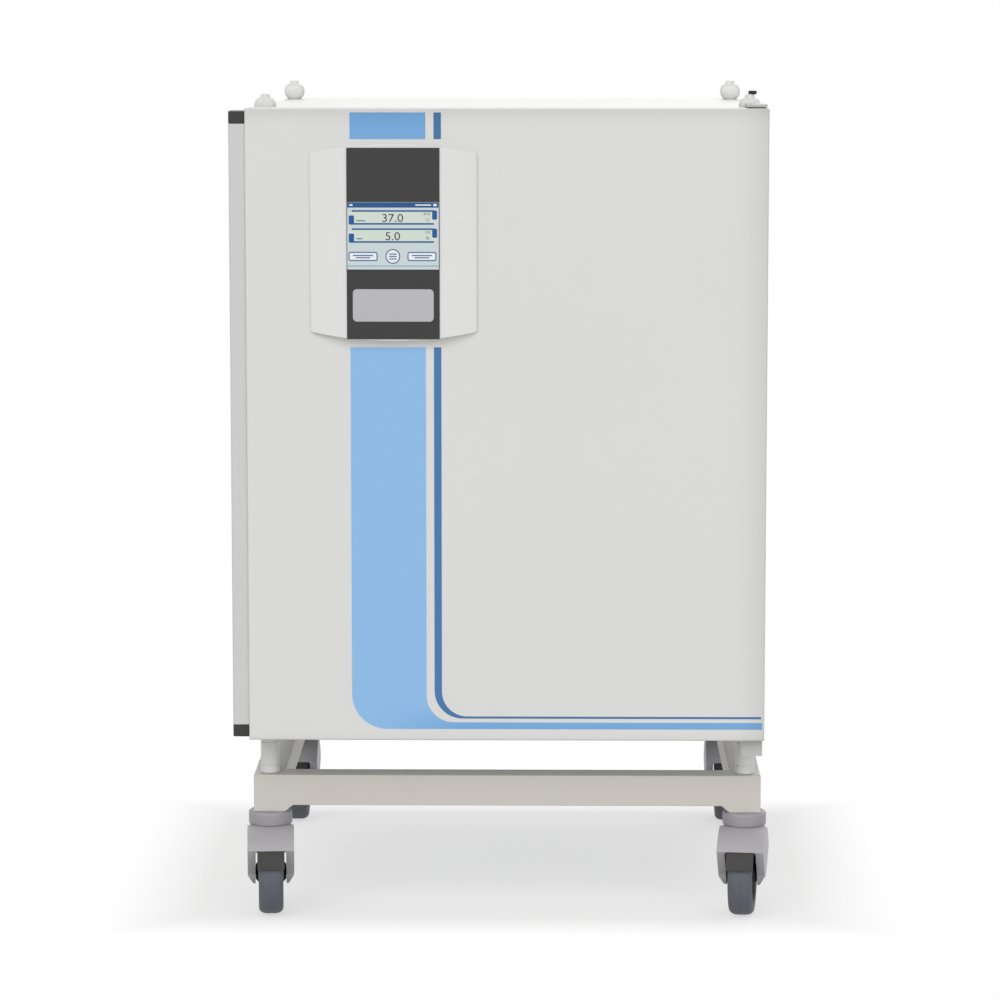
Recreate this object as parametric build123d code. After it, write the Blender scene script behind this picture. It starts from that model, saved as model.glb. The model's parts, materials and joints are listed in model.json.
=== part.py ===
from build123d import *
import os
from math import cos, radians, sin

# Carbon dioxide incubator on a wheeled base, in millimetres.
# While it is drawn, X is measured from the middle of the cabinet, Y backwards from the front
# face of the door and Z up from the floor. save() moves each piece to the part's own origin,
# the bottom centre of the whole object.

# Door and cabinet
DOOR_WIDTH = 756.0
DOOR_HEIGHT = 924.0
DOOR_THICKNESS = 65.0
DOOR_EDGE_RADIUS = 3.0
DOOR_TO_FRAME_GAP = 12.0
CABINET_DEPTH = 723.0
CABINET_SIDE_INSET = 3.0
CABINET_RAISE = 2.0
CABINET_TOP_DROP = 12.0
CABINET_CORNER_RADIUS = 6.0
SHEET = 1.5
REAR_FITTING_REACH = 34.0

# Insulated walls, measured from the cabinet's outside to the chamber's inside
SIDE_WALL = 71.5
FLOOR_WALL = 110.0
TOP_WALL = 130.0
FRONT_FRAME_DEPTH = 20.0
REAR_COMPARTMENT = 98.5
CHAMBER_CORNER_RADIUS = 25.0
LINER_FLANGE = 12.0
REAR_INSULATION = 38.5

# Seals and clearances
SEAT_GAP = 0.3
RUNNING_GAP = 0.05
DOOR_GASKET_WIDTH = 12.0
DOOR_GASKET_INSET = 13.0
HINGE_GASKET_GAP = 4.0
CHAMBER_GASKET_WIDTH = 10.0
CHAMBER_GASKET_THICKNESS = 4.2

# Outer door hinge, on the right
HINGE_EDGE_DISTANCE = 12.0
HINGE_PIVOT_FROM_BACK = 30.0
HINGE_PIN_RADIUS = 5.0
HINGE_PIN_REACH = 16.0
HINGE_BOSS = 24.0
HINGE_BRACKET_WIDTH = 30.0
HINGE_BRACKET_EDGE = 2.0
HINGE_ARM_REACH = 15.0
HINGE_PLATE = 4.0
LOWER_HINGE_DROP = 26.0
LOWER_HINGE_RISE = 18.0
UPPER_HINGE_ARM = 4.0
UPPER_HINGE_DROP = 26.0
HINGE_DOOR_GAP = 1.5

# Recess in the back of the door that takes the glass door
RECESS_DEPTH = 25.0
RECESS_SIDE_GAP = 1.5
RECESS_END = 20.0

# Grip strip along the left edge of the door
GRIP_WIDTH = 24.0
GRIP_FRONT = 6.0
GRIP_DEPTH = 44.0
GRIP_WALL = 4.0
GRIP_END_INSET = 4.0
GRIP_CAP_HEIGHT = 18.0

# Control panel on the door
BEZEL_WIDTH = 241.0
BEZEL_HEIGHT = 284.0
BEZEL_EDGE_BOW = 12.5
BEZEL_DEPTH = 14.0
BEZEL_RIM = 4.0
BEZEL_CORNER_RADIUS = 4.0
BEZEL_CENTRE_FROM_LEFT = 214.5
BEZEL_TOP_MARGIN = 50.0
OVERLAY_WIDTH = 134.0
OVERLAY_HEIGHT = 276.0
OVERLAY_THICKNESS = 1.5
OVERLAY_DROP = 1.5
SCREEN_WIDTH = 132.0
SCREEN_HEIGHT = 97.0
SCREEN_THICKNESS = 0.8
SCREEN_BELOW_TOP = 83.5
NAMEPLATE_WIDTH = 117.0
NAMEPLATE_HEIGHT = 47.0
NAMEPLATE_THICKNESS = 1.0
NAMEPLATE_BELOW_TOP = 209.0
NAMEPLATE_RADIUS = 6.0

# Glass inner door
GLASS_THICKNESS = 5.0
GLASS_SIDE_MARGIN = 14.5
GLASS_PIVOT_OFFSET = 4.0
GLASS_PIVOT_AHEAD = 4.0
GLASS_PIN_RADIUS = 2.5
GLASS_BARREL_RADIUS = 4.5
GLASS_BARREL_HALF = 10.0
GLASS_LUG = 4.0
GLASS_LUG_RADIUS = 4.0
GLASS_CLAMP_REACH = 26.0
GLASS_CLAMP_THICKNESS = 3.5
GLASS_HINGE_INSET = 95.0
GLASS_BRACKET_WIDTH = 19.0
GLASS_BRACKET_PLATE = 3.0
PULL_WIDTH = 22.0
PULL_HEIGHT = 70.0
PULL_REACH = 18.0
PULL_INSET = 16.0
PULL_BAR = 6.0

# Shelving inside the chamber
UPRIGHT_THICKNESS = 8.0
UPRIGHT_WIDTH = 16.0
UPRIGHT_END_GAP = 26.0
UPRIGHT_FRONT_DEPTH = 60.0
UPRIGHT_REAR_DEPTH = 60.0
RAIL_SHEET = 2.0
RAIL_FLANGE = 18.0
RAIL_UP = 8.0
RAIL_DOWN = 10.0
SHELF_COUNT = 3
FIRST_SHELF_HEIGHT = 154.0
TOP_SHELF_CLEARANCE = 176.0
SHELF_SHEET = 2.0
SHELF_RIM = 10.0
SHELF_SIDE_GAP = 2.0
SHELF_FRONT_DEPTH = 48.0
SHELF_REAR_DEPTH = 60.0
SHELF_SLOT_LENGTH = 34.0
SHELF_SLOT_WIDTH = 9.0
SHELF_SLOT_PITCH_X = 45.0
SHELF_SLOT_PITCH_Y = 24.0
SHELF_SLOT_MARGIN = 22.0
PAN_HEIGHT = 42.0
PAN_SIDE_GAP = 34.0
PAN_FRONT_DEPTH = 50.0
PAN_REAR_DEPTH = 62.0
PAN_WALL = 2.0
PAN_CORNER_RADIUS = 20.0

# Circulation fan and sensor head
FAN_BELOW_CEILING = 90.0
FAN_RADIUS = 42.0
FAN_DEPTH = 22.0
FAN_WALL_GAP = 12.0
FAN_HUB_RADIUS = 12.0
FAN_BLADE_COUNT = 8
FAN_BLADE_THICKNESS = 2.0
FAN_SHAFT_RADIUS = 4.0
FAN_SHAFT_HOLE_RADIUS = 6.0
FAN_COVER_HALF_WIDTH = 80.0
FAN_COVER_HALF_HEIGHT = 62.0
FAN_COVER_DEPTH = 43.0
FAN_COVER_SHEET = 1.5
FAN_COVER_SLOTS = 9
FAN_COVER_SLOT_PITCH = 15.0
FAN_COVER_SLOT_WIDTH = 6.0
FAN_COVER_SLOT_HEIGHT = 88.0
MOTOR_RADIUS = 32.0
MOTOR_LENGTH = 54.0
MOTOR_FLANGE_RADIUS = 42.0
MOTOR_FLANGE = 4.0
SENSOR_RADIUS = 18.0
SENSOR_LENGTH = 64.0
SENSOR_FROM_WALL = 103.5
SENSOR_FROM_REAR = 184.5
BOARD_WIDTH = 240.0
BOARD_HEIGHT = 180.0
BOARD_THICKNESS = 2.0
BOARD_FROM_SIDE = 185.0
BOARD_BELOW_TOP = 150.0
BOARD_STANDOFF = 16.0
STANDOFF_RADIUS = 4.0

# Rear connections
PORT_RADIUS = 21.0
PORT_BOSS_RADIUS = 34.0
PORT_FROM_WALL = 93.5
PORT_ABOVE_FLOOR = 250.0
PLUG_GAP = 0.4
PLUG_DEPTH = 30.0
PLUG_TAPER = 2.0
PLUG_FLANGE_RADIUS = 27.0
PLUG_FLANGE = 12.0
PANEL_FROM_SIDE = 140.0
PANEL_BELOW_TOP = 115.0
PANEL_WIDTH = 180.0
PANEL_HEIGHT = 90.0
PANEL_THICKNESS = 3.0
INLET_OFFSET = -56.0
INLET_WIDTH = 28.0
INLET_HEIGHT = 22.0
INLET_FLANGE = 3.0
INLET_BODY_DEPTH = 20.0
INLET_CAVITY_WIDTH = 24.0
INLET_CAVITY_HEIGHT = 16.0
INLET_CAVITY_DEPTH = 14.0
INLET_PIN = 2.4
INLET_PIN_LENGTH = 8.0
INLET_PIN_SPACING = 7.0
ROCKER_OFFSET = -14.0
ROCKER_WIDTH = 12.4
ROCKER_HEIGHT = 19.0
ROCKER_DEPTH = 5.0
ROCKER_GAP = 0.6
ROCKER_TILT = 6.0
SOCKET_OFFSETS = (26.0, 56.0)
SOCKET_WIDTH = 18.0
SOCKET_HEIGHT = 16.0
SOCKET_REACH = 2.0
SOCKET_BODY_DEPTH = 16.0
SOCKET_CAVITY_WIDTH = 12.0
SOCKET_CAVITY_HEIGHT = 8.0
SOCKET_CAVITY_DEPTH = 12.0
NIPPLE_X = -40.0
NIPPLE_BELOW_TOP = 115.0
NIPPLE_RADIUS = 4.0
NIPPLE_BORE = 2.0
NIPPLE_BASE_RADIUS = 10.0
NIPPLE_BASE = 9.0
VENT_COLUMNS = 10
VENT_ROWS = 3
VENT_PITCH_X = 20.0
VENT_PITCH_Z = 60.0
VENT_WIDTH = 6.0
VENT_LENGTH = 44.0
VENT_FROM_SIDE = 185.0
VENT_ABOVE_BOTTOM = 160.0

# Screw heads
SCREW_RADIUS = 4.0
SCREW_HEAD = 2.0
SCREW_INSET = 12.0
SCREWS_PER_EDGE = 5

# Stacking mounts on top
STACKING_FROM_SIDE = 21.0
STACKING_FRONT_DEPTH = 23.0
STACKING_REAR_INSET = 25.0
STACKING_HEIGHT = 30.0
STACKING_LOBES = 3
LOBE_RADIUS = 9.0
LOBE_OFFSET = 7.0
STACKING_CORE_RADIUS = 11.0

# Levelling feet between the cabinet and the base
FOOT_RADIUS = 14.2
FOOT_RING_RADIUS = 15.0
FOOT_RING = 5.0
FOOT_BLOCK = 30.0
FOOT_BLOCK_DROP = 10.0
FOOT_SCREW_RADIUS = 5.0
FOOT_SCREW_REACH = 1.0

# Roller base
BASE_SIDE_INSET = 1.0
BASE_FRONT_DEPTH = 70.0
BASE_REAR_INSET = 10.0
BASE_TUBE_WIDTH = 45.0
BASE_TUBE_WALL = 2.5
BASE_TUBE_HEIGHT = 46.0
FOOT_STAND = 68.0
LEG_DROP = 10.0
LEG_WIDTH = 46.0
LEG_SHOULDER = 12.0

# Casters
WHEEL_RADIUS = 62.5
WHEEL_WIDTH = 37.0
WHEEL_SHOULDER = 9.0
TYRE_DEPTH = 16.0
HUB_BOSS_RADIUS = 12.0
AXLE_RADIUS = 6.0
CASTER_TRAIL = 27.0
CAP_RADIUS = 32.5
CAP_HEIGHT = 20.2
CAP_EDGE_RADIUS = 5.0
FORK_SIDE_GAP = 4.5
FORK_LEG = 11.5
FORK_WHEEL_GAP = 3.0
FORK_HOOD = 3.5
FORK_CROWN_RADIUS = 31.0
FORK_BOSS_RADIUS = 18.0
FORK_FRONT_ANGLE = 142.0
FORK_REAR_ANGLE = 25.0
GUARD_END_ANGLE = 166.0
GUARD_THICKNESS = 2.5
GUARD_WIDTH = 40.0
KINGPIN_RADIUS = 6.0
KINGPIN_REACH = 7.0
CASTER_TURNS = (4.0, -7.0, 0.0, 0.0)

# Places that follow from the sizes above
SLOT_RADIUS = WHEEL_RADIUS + FORK_WHEEL_GAP
FORK_RADIUS = SLOT_RADIUS + FORK_HOOD
FORK_TOP = WHEEL_RADIUS + FORK_RADIUS
FORK_GAP_WIDTH = WHEEL_WIDTH + 2 * FORK_SIDE_GAP
FORK_WIDTH = FORK_GAP_WIDTH + 2 * FORK_LEG
CAP_BOTTOM = FORK_TOP + SEAT_GAP
LEG_BOTTOM = CAP_BOTTOM + CAP_HEIGHT
BASE_BOTTOM = LEG_BOTTOM + LEG_DROP
BASE_TOP = BASE_BOTTOM + BASE_TUBE_HEIGHT
CABINET_BOTTOM = BASE_TOP + FOOT_STAND
DOOR_BOTTOM = CABINET_BOTTOM - CABINET_RAISE
DOOR_HALF = DOOR_WIDTH / 2
DOOR_TOP = DOOR_BOTTOM + DOOR_HEIGHT
FRAME_FACE = DOOR_THICKNESS + DOOR_TO_FRAME_GAP
CABINET_BACK = FRAME_FACE + CABINET_DEPTH
CABINET_HALF = DOOR_HALF - CABINET_SIDE_INSET
CABINET_TOP = DOOR_TOP - CABINET_TOP_DROP
CHAMBER_HALF = CABINET_HALF - SIDE_WALL
CHAMBER_FLOOR = CABINET_BOTTOM + FLOOR_WALL
CHAMBER_CEILING = CABINET_TOP - TOP_WALL
CHAMBER_FRONT = FRAME_FACE - SHEET
JACKET_BACK = CABINET_BACK - SHEET - REAR_COMPARTMENT
CHAMBER_REAR = JACKET_BACK - REAR_INSULATION - SHEET
CHAMBER_MIDDLE = (CHAMBER_FLOOR + CHAMBER_CEILING) / 2
HINGE_X = DOOR_HALF - HINGE_EDGE_DISTANCE
HINGE_Y = DOOR_THICKNESS - HINGE_PIVOT_FROM_BACK
HINGE_ARM_FRONT = HINGE_Y - HINGE_ARM_REACH
GASKET_HALF = DOOR_HALF - CABINET_SIDE_INSET - DOOR_GASKET_INSET
GASKET_BOTTOM = CABINET_BOTTOM + LOWER_HINGE_RISE + HINGE_GASKET_GAP
GASKET_TOP = CABINET_TOP - UPPER_HINGE_DROP - HINGE_GASKET_GAP
GLASS_BACK = CHAMBER_FRONT - CHAMBER_GASKET_THICKNESS - SEAT_GAP
GLASS_FRONT = GLASS_BACK - GLASS_THICKNESS
GLASS_HALF = CHAMBER_HALF + GLASS_SIDE_MARGIN
GLASS_BOTTOM = CHAMBER_FLOOR - GLASS_SIDE_MARGIN
GLASS_TOP = CHAMBER_CEILING + GLASS_SIDE_MARGIN
GLASS_PIVOT_X = GLASS_HALF + GLASS_PIVOT_OFFSET
GLASS_PIVOT_Y = GLASS_FRONT - GLASS_PIVOT_AHEAD
GLASS_BRACKET_LEFT = GLASS_PIVOT_X - GLASS_PIN_RADIUS
GLASS_BRACKET_RIGHT = GLASS_BRACKET_LEFT + GLASS_BRACKET_WIDTH
RECESS_HALF = GLASS_BRACKET_RIGHT + RECESS_SIDE_GAP
RECESS_FLOOR = DOOR_THICKNESS - RECESS_DEPTH
GLASS_HINGE_LEVELS = (GLASS_BOTTOM + GLASS_HINGE_INSET, GLASS_TOP - GLASS_HINGE_INSET)
BEZEL_X = BEZEL_CENTRE_FROM_LEFT - DOOR_HALF
BEZEL_TOP = DOOR_TOP - BEZEL_TOP_MARGIN
BEZEL_Z = BEZEL_TOP - BEZEL_HEIGHT / 2
OVERLAY_FACE = -BEZEL_DEPTH - OVERLAY_THICKNESS
FRONT_MOST = OVERLAY_FACE - NAMEPLATE_THICKNESS
REAR_MOST = CABINET_BACK + REAR_FITTING_REACH
SHELF_SPAN = CHAMBER_CEILING - TOP_SHELF_CLEARANCE - CHAMBER_FLOOR - FIRST_SHELF_HEIGHT
SHELF_STEP = SHELF_SPAN / (SHELF_COUNT - 1)
SHELF_LEVELS = [CHAMBER_FLOOR + FIRST_SHELF_HEIGHT + i * SHELF_STEP for i in range(SHELF_COUNT)]
UPRIGHT_FACE = CHAMBER_HALF - SEAT_GAP - UPRIGHT_THICKNESS
RAIL_FACE = UPRIGHT_FACE - SEAT_GAP
SHELF_HALF = RAIL_FACE - RAIL_SHEET - SHELF_SIDE_GAP
SHELF_FRONT = CHAMBER_FRONT + SHELF_FRONT_DEPTH
SHELF_REAR = CHAMBER_REAR - SHELF_REAR_DEPTH
FAN_Z = CHAMBER_CEILING - FAN_BELOW_CEILING
FAN_REAR = CHAMBER_REAR - FAN_WALL_GAP
SENSOR_X = SENSOR_FROM_WALL - CHAMBER_HALF
SENSOR_Y = CHAMBER_REAR - SENSOR_FROM_REAR
BOARD_X = CABINET_HALF - BOARD_FROM_SIDE
VENT_X = CABINET_HALF - VENT_FROM_SIDE
PORT_X = PORT_FROM_WALL - CHAMBER_HALF
PANEL_X = PANEL_FROM_SIDE - CABINET_HALF
STACKING_X = CABINET_HALF - STACKING_FROM_SIDE
PANEL_Z = CABINET_TOP - PANEL_BELOW_TOP
PANEL_FACE = CABINET_BACK + PANEL_THICKNESS
PORT_Z = CHAMBER_FLOOR + PORT_ABOVE_FLOOR
NIPPLE_Z = CABINET_TOP - NIPPLE_BELOW_TOP
STACKING_DEPTHS = (FRAME_FACE + STACKING_FRONT_DEPTH, CABINET_BACK - STACKING_REAR_INSET)
BASE_HALF = DOOR_HALF - BASE_SIDE_INSET
BASE_REAR = CABINET_BACK - BASE_REAR_INSET
LEG_X = BASE_HALF - LEG_WIDTH / 2
LEG_DEPTHS = (BASE_FRONT_DEPTH + BASE_TUBE_WIDTH / 2, BASE_REAR - BASE_TUBE_WIDTH / 2)
LEFT_MOST = -max(DOOR_HALF + GRIP_WIDTH, LEG_X + CAP_RADIUS)
RIGHT_MOST = max(DOOR_HALF, LEG_X + CAP_RADIUS)
ORIGIN_X = (LEFT_MOST + RIGHT_MOST) / 2
ORIGIN_Y = (FRONT_MOST + REAR_MOST) / 2
CORNERS = [(side, depth) for depth in LEG_DEPTHS for side in (-1, 1)]


def block(x_range, y_range, z_range):
    """Box between two values on each axis."""
    (x0, x1), (y0, y1), (z0, z1) = x_range, y_range, z_range
    return Pos((x0 + x1) / 2, (y0 + y1) / 2, (z0 + z1) / 2) * Box(x1 - x0, y1 - y0, z1 - z0)


def rod(radius, start, end):
    """Round bar from one point to another."""
    run = Vector(*end) - Vector(*start)
    return extrude(Plane(origin=start, z_dir=run) * Circle(radius), run.length)


def post(radius, x, y, low, high):
    """Upright round bar."""
    return rod(radius, (x, y, low), (x, y, high))


def upright_plate(outline, x, z, y_front, y_back):
    """Plate across the depth, from an outline drawn as seen from the front."""
    return extrude(Plane.XZ.offset(-y_back) * Pos(x, z) * outline, y_back - y_front)


def ring_plate(outer, inner, x, z, y_front, y_back):
    """Upright plate with an opening."""
    return upright_plate(outer - inner, x, z, y_front, y_back)


def door_skin():
    """Painted outer tray of the door, with a block for each hinge pin."""
    tray = block((-DOOR_HALF, DOOR_HALF), (0, DOOR_THICKNESS), (DOOR_BOTTOM, DOOR_TOP))
    tray = fillet(tray.faces().sort_by(Axis.Y)[0].edges(), DOOR_EDGE_RADIUS)
    tray -= door_cavity()
    tray += hinge_bosses()
    for z in (DOOR_BOTTOM, DOOR_TOP):
        tray -= post(HINGE_PIN_RADIUS + RUNNING_GAP, HINGE_X, HINGE_Y, z - HINGE_BOSS, z + HINGE_BOSS)
    return tray


def door_cavity():
    """Space inside the door skin."""
    half = DOOR_HALF - SHEET
    ends = (DOOR_BOTTOM + SHEET, DOOR_TOP - SHEET)
    space = block((-half, half), (SHEET, DOOR_THICKNESS), ends)
    return fillet(space.faces().sort_by(Axis.Y)[0].edges(), DOOR_EDGE_RADIUS - SHEET)


def hinge_bosses():
    """Blocks inside the door that the hinge pins run in."""
    half = DOOR_HALF - SHEET
    x_range = (HINGE_X - HINGE_BOSS / 2, half)
    y_range = (HINGE_Y - HINGE_BOSS / 2, HINGE_Y + HINGE_BOSS / 2)
    lower = block(x_range, y_range, (DOOR_BOTTOM + SHEET, DOOR_BOTTOM + HINGE_BOSS))
    upper = block(x_range, y_range, (DOOR_TOP - HINGE_BOSS, DOOR_TOP - SHEET))
    return lower + upper


def recess(wall):
    """Recess in the back of the door, grown by a wall on its closed sides."""
    x_range = (-RECESS_HALF - wall, RECESS_HALF + wall)
    z_range = (GLASS_BOTTOM - RECESS_END - wall, GLASS_TOP + RECESS_END + wall)
    return block(x_range, (RECESS_FLOOR - wall, DOOR_THICKNESS), z_range)


def door_liner():
    """Moulded inner face of the door, with its recess."""
    half = DOOR_HALF - SHEET
    z_range = (DOOR_BOTTOM + SHEET, DOOR_TOP - SHEET)
    face = block((-half, half), (DOOR_THICKNESS - SHEET, DOOR_THICKNESS), z_range)
    return face + recess(SHEET) - recess(0)


def door_insulation():
    """Foam between the door's skin and its liner."""
    liner_side = block(
        (-DOOR_HALF, DOOR_HALF), (DOOR_THICKNESS - SHEET, DOOR_THICKNESS), (DOOR_BOTTOM, DOOR_TOP)
    )
    return door_cavity() - liner_side - recess(SHEET) - hinge_bosses()


def door_gasket():
    """Magnetic gasket between the door and the front frame."""
    width, height = GASKET_HALF * 2, GASKET_TOP - GASKET_BOTTOM
    outer = RectangleRounded(width, height, DOOR_GASKET_WIDTH)
    inner = Rectangle(width - 2 * DOOR_GASKET_WIDTH, height - 2 * DOOR_GASKET_WIDTH)
    middle = (GASKET_TOP + GASKET_BOTTOM) / 2
    return ring_plate(outer, inner, 0, middle, DOOR_THICKNESS, FRAME_FACE - SEAT_GAP)


def grip_strip():
    """Channel open to the rear, which the fingers pull from behind."""
    z_range = (DOOR_BOTTOM + GRIP_END_INSET + GRIP_CAP_HEIGHT, DOOR_TOP - GRIP_END_INSET - GRIP_CAP_HEIGHT)
    left = -DOOR_HALF - GRIP_WIDTH
    strip = block((left, -DOOR_HALF), (GRIP_FRONT, GRIP_FRONT + GRIP_DEPTH), z_range)
    outer_edge = strip.edges().filter_by(Axis.Z).sort_by(Axis.X)[:2].sort_by(Axis.Y)[0]
    strip = fillet(outer_edge, GRIP_WALL)
    fingers = (left + GRIP_WALL, -DOOR_HALF - GRIP_WALL)
    return strip - block(fingers, (GRIP_FRONT + GRIP_WALL, GRIP_FRONT + GRIP_DEPTH), z_range)


def grip_caps():
    """Dark end caps of the grip strip."""
    left = -DOOR_HALF - GRIP_WIDTH
    caps = []
    for z in (DOOR_BOTTOM + GRIP_END_INSET, DOOR_TOP - GRIP_END_INSET - GRIP_CAP_HEIGHT):
        cap = block((left, -DOOR_HALF), (GRIP_FRONT, GRIP_FRONT + GRIP_DEPTH), (z, z + GRIP_CAP_HEIGHT))
        outer_edge = cap.edges().filter_by(Axis.Z).sort_by(Axis.X)[:2].sort_by(Axis.Y)[0]
        caps.append(fillet(outer_edge, GRIP_WALL))
    return Compound(caps)


def control_bezel():
    """Convex fascia around the control panel."""
    half, flat, rim = BEZEL_WIDTH / 2, OVERLAY_WIDTH / 2, -BEZEL_RIM
    shoulder = ((half + flat) / 2, rim - (BEZEL_DEPTH - BEZEL_RIM) * 0.72)
    left_arc = ThreePointArc((-half, rim), (-shoulder[0], shoulder[1]), (-flat, -BEZEL_DEPTH))
    front = Line((-flat, -BEZEL_DEPTH), (flat, -BEZEL_DEPTH))
    right_arc = ThreePointArc((flat, -BEZEL_DEPTH), shoulder, (half, rim))
    back = Polyline((half, rim), (half, 0), (-half, 0), (-half, rim))
    section = make_face([left_arc, front, right_arc, back])
    bulge = Pos(0, 0, BEZEL_TOP - BEZEL_HEIGHT) * extrude(section, BEZEL_HEIGHT)
    corner = BEZEL_HEIGHT / 2 - BEZEL_EDGE_BOW
    top = ThreePointArc((-half, corner), (0, BEZEL_HEIGHT / 2), (half, corner))
    right = Line((half, corner), (half, -corner))
    bottom = ThreePointArc((half, -corner), (0, -BEZEL_HEIGHT / 2), (-half, -corner))
    left = Line((-half, -corner), (-half, corner))
    outline = make_face([top, right, bottom, left])
    outline = fillet(outline.vertices(), BEZEL_CORNER_RADIUS)
    mask = upright_plate(outline, BEZEL_X, BEZEL_Z, -BEZEL_DEPTH - 1, 0)
    return (Pos(BEZEL_X, 0, 0) * bulge) & mask


def control_overlay():
    """Dark membrane that carries the screen."""
    outline = Rectangle(OVERLAY_WIDTH, OVERLAY_HEIGHT)
    return upright_plate(outline, BEZEL_X, BEZEL_Z - OVERLAY_DROP, OVERLAY_FACE, -BEZEL_DEPTH)


def display_screen():
    """Touch screen."""
    z = BEZEL_TOP - SCREEN_BELOW_TOP - SCREEN_HEIGHT / 2
    outline = Rectangle(SCREEN_WIDTH, SCREEN_HEIGHT)
    return upright_plate(outline, BEZEL_X, z, OVERLAY_FACE - SCREEN_THICKNESS, OVERLAY_FACE)


def nameplate():
    """Blank metal plate under the screen."""
    z = BEZEL_TOP - NAMEPLATE_BELOW_TOP - NAMEPLATE_HEIGHT / 2
    outline = RectangleRounded(NAMEPLATE_WIDTH, NAMEPLATE_HEIGHT, NAMEPLATE_RADIUS)
    return upright_plate(outline, BEZEL_X, z, FRONT_MOST, OVERLAY_FACE)


def glass_pane():
    """Tempered pane of the inner door."""
    outline = Rectangle(GLASS_HALF * 2, GLASS_TOP - GLASS_BOTTOM)
    return upright_plate(outline, 0, (GLASS_TOP + GLASS_BOTTOM) / 2, GLASS_FRONT, GLASS_BACK)


def glass_clamps():
    """Hinge leaves on the glass, each with its barrel."""
    clamps = []
    half = GLASS_BARREL_HALF - SEAT_GAP
    for z in GLASS_HINGE_LEVELS:
        leaf = block(
            (GLASS_HALF - GLASS_CLAMP_REACH, GLASS_PIVOT_X),
            (GLASS_FRONT - GLASS_CLAMP_THICKNESS, GLASS_FRONT),
            (z - half, z + half),
        )
        barrel = post(GLASS_BARREL_RADIUS, GLASS_PIVOT_X, GLASS_PIVOT_Y, z - half, z + half)
        bore = post(GLASS_PIN_RADIUS + RUNNING_GAP, GLASS_PIVOT_X, GLASS_PIVOT_Y, z - half, z + half)
        clamps.append(leaf + barrel - bore)
    return Compound(clamps)


def glass_hinge_brackets():
    """Fixed hinge halves on the front frame, each with its pin."""
    brackets = []
    web_x = (GLASS_BRACKET_LEFT, GLASS_PIVOT_X + GLASS_PIN_RADIUS)
    plate_x = (GLASS_BRACKET_LEFT, GLASS_BRACKET_RIGHT)
    reach = GLASS_BARREL_HALF + GLASS_LUG
    for z in GLASS_HINGE_LEVELS:
        bracket = block(plate_x, (FRAME_FACE - GLASS_BRACKET_PLATE, FRAME_FACE), (z - reach, z + reach))
        for low in (z - reach, z + GLASS_BARREL_HALF):
            bracket += post(GLASS_LUG_RADIUS, GLASS_PIVOT_X, GLASS_PIVOT_Y, low, low + GLASS_LUG)
            bracket += block(web_x, (GLASS_PIVOT_Y, FRAME_FACE), (low, low + GLASS_LUG))
        bracket += post(GLASS_PIN_RADIUS, GLASS_PIVOT_X, GLASS_PIVOT_Y, z - reach, z + reach)
        brackets.append(bracket)
    return Compound(brackets)


def glass_pull():
    """Bow handle at the free edge of the glass."""
    x_range = (PULL_INSET - GLASS_HALF, PULL_INSET - GLASS_HALF + PULL_WIDTH)
    low, high = CHAMBER_MIDDLE - PULL_HEIGHT / 2, CHAMBER_MIDDLE + PULL_HEIGHT / 2
    bow = block(x_range, (GLASS_FRONT - PULL_REACH, GLASS_FRONT), (low, high))
    bow = fillet(bow.faces().sort_by(Axis.Y)[0].edges().filter_by(Axis.X), PULL_BAR)
    finger_y = (GLASS_FRONT - PULL_REACH + PULL_BAR, GLASS_FRONT)
    return bow - block(x_range, finger_y, (low + 2 * PULL_BAR, high - 2 * PULL_BAR))


def cabinet_wrap():
    """Painted sheet over the left, top and right of the cabinet."""
    y_range = (FRAME_FACE, CABINET_BACK - SHEET)
    shell = block((-CABINET_HALF, CABINET_HALF), y_range, (CABINET_BOTTOM, CABINET_TOP))
    top_edges = shell.edges().filter_by(Axis.Y).sort_by(Axis.Z)[-2:]
    shell = fillet(top_edges, CABINET_CORNER_RADIUS)
    return shell - cabinet_inside(y_range)


def cabinet_inside(y_range):
    """Space inside the wrap, over a stretch of its depth."""
    half = CABINET_HALF - SHEET
    inside = block((-half, half), y_range, (CABINET_BOTTOM, CABINET_TOP - SHEET))
    top_edges = inside.edges().filter_by(Axis.Y).sort_by(Axis.Z)[-2:]
    return fillet(top_edges, CABINET_CORNER_RADIUS - SHEET)


def foot_places():
    """The middle of each levelling foot, front ones first."""
    return [(side * LEG_X, depth) for side, depth in CORNERS]


def base_pan():
    """Bottom sheet of the cabinet, with a block for each foot."""
    half = CABINET_HALF - SHEET
    pan = block((-half, half), (FRAME_FACE, CABINET_BACK - SHEET), (CABINET_BOTTOM, CABINET_BOTTOM + SHEET))
    for x, y in foot_places():
        low, high = CABINET_BOTTOM - FOOT_BLOCK_DROP, CABINET_BOTTOM
        front = max(y - FOOT_BLOCK / 2, FRAME_FACE)
        pan += block((x - FOOT_BLOCK / 2, x + FOOT_BLOCK / 2), (front, y + FOOT_BLOCK / 2), (low, high))
        hole = FOOT_SCREW_RADIUS + RUNNING_GAP
        pan -= rod(hole, (x, y, low - 1), (x, y, CABINET_BOTTOM + SHEET + 1))
    return pan


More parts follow.
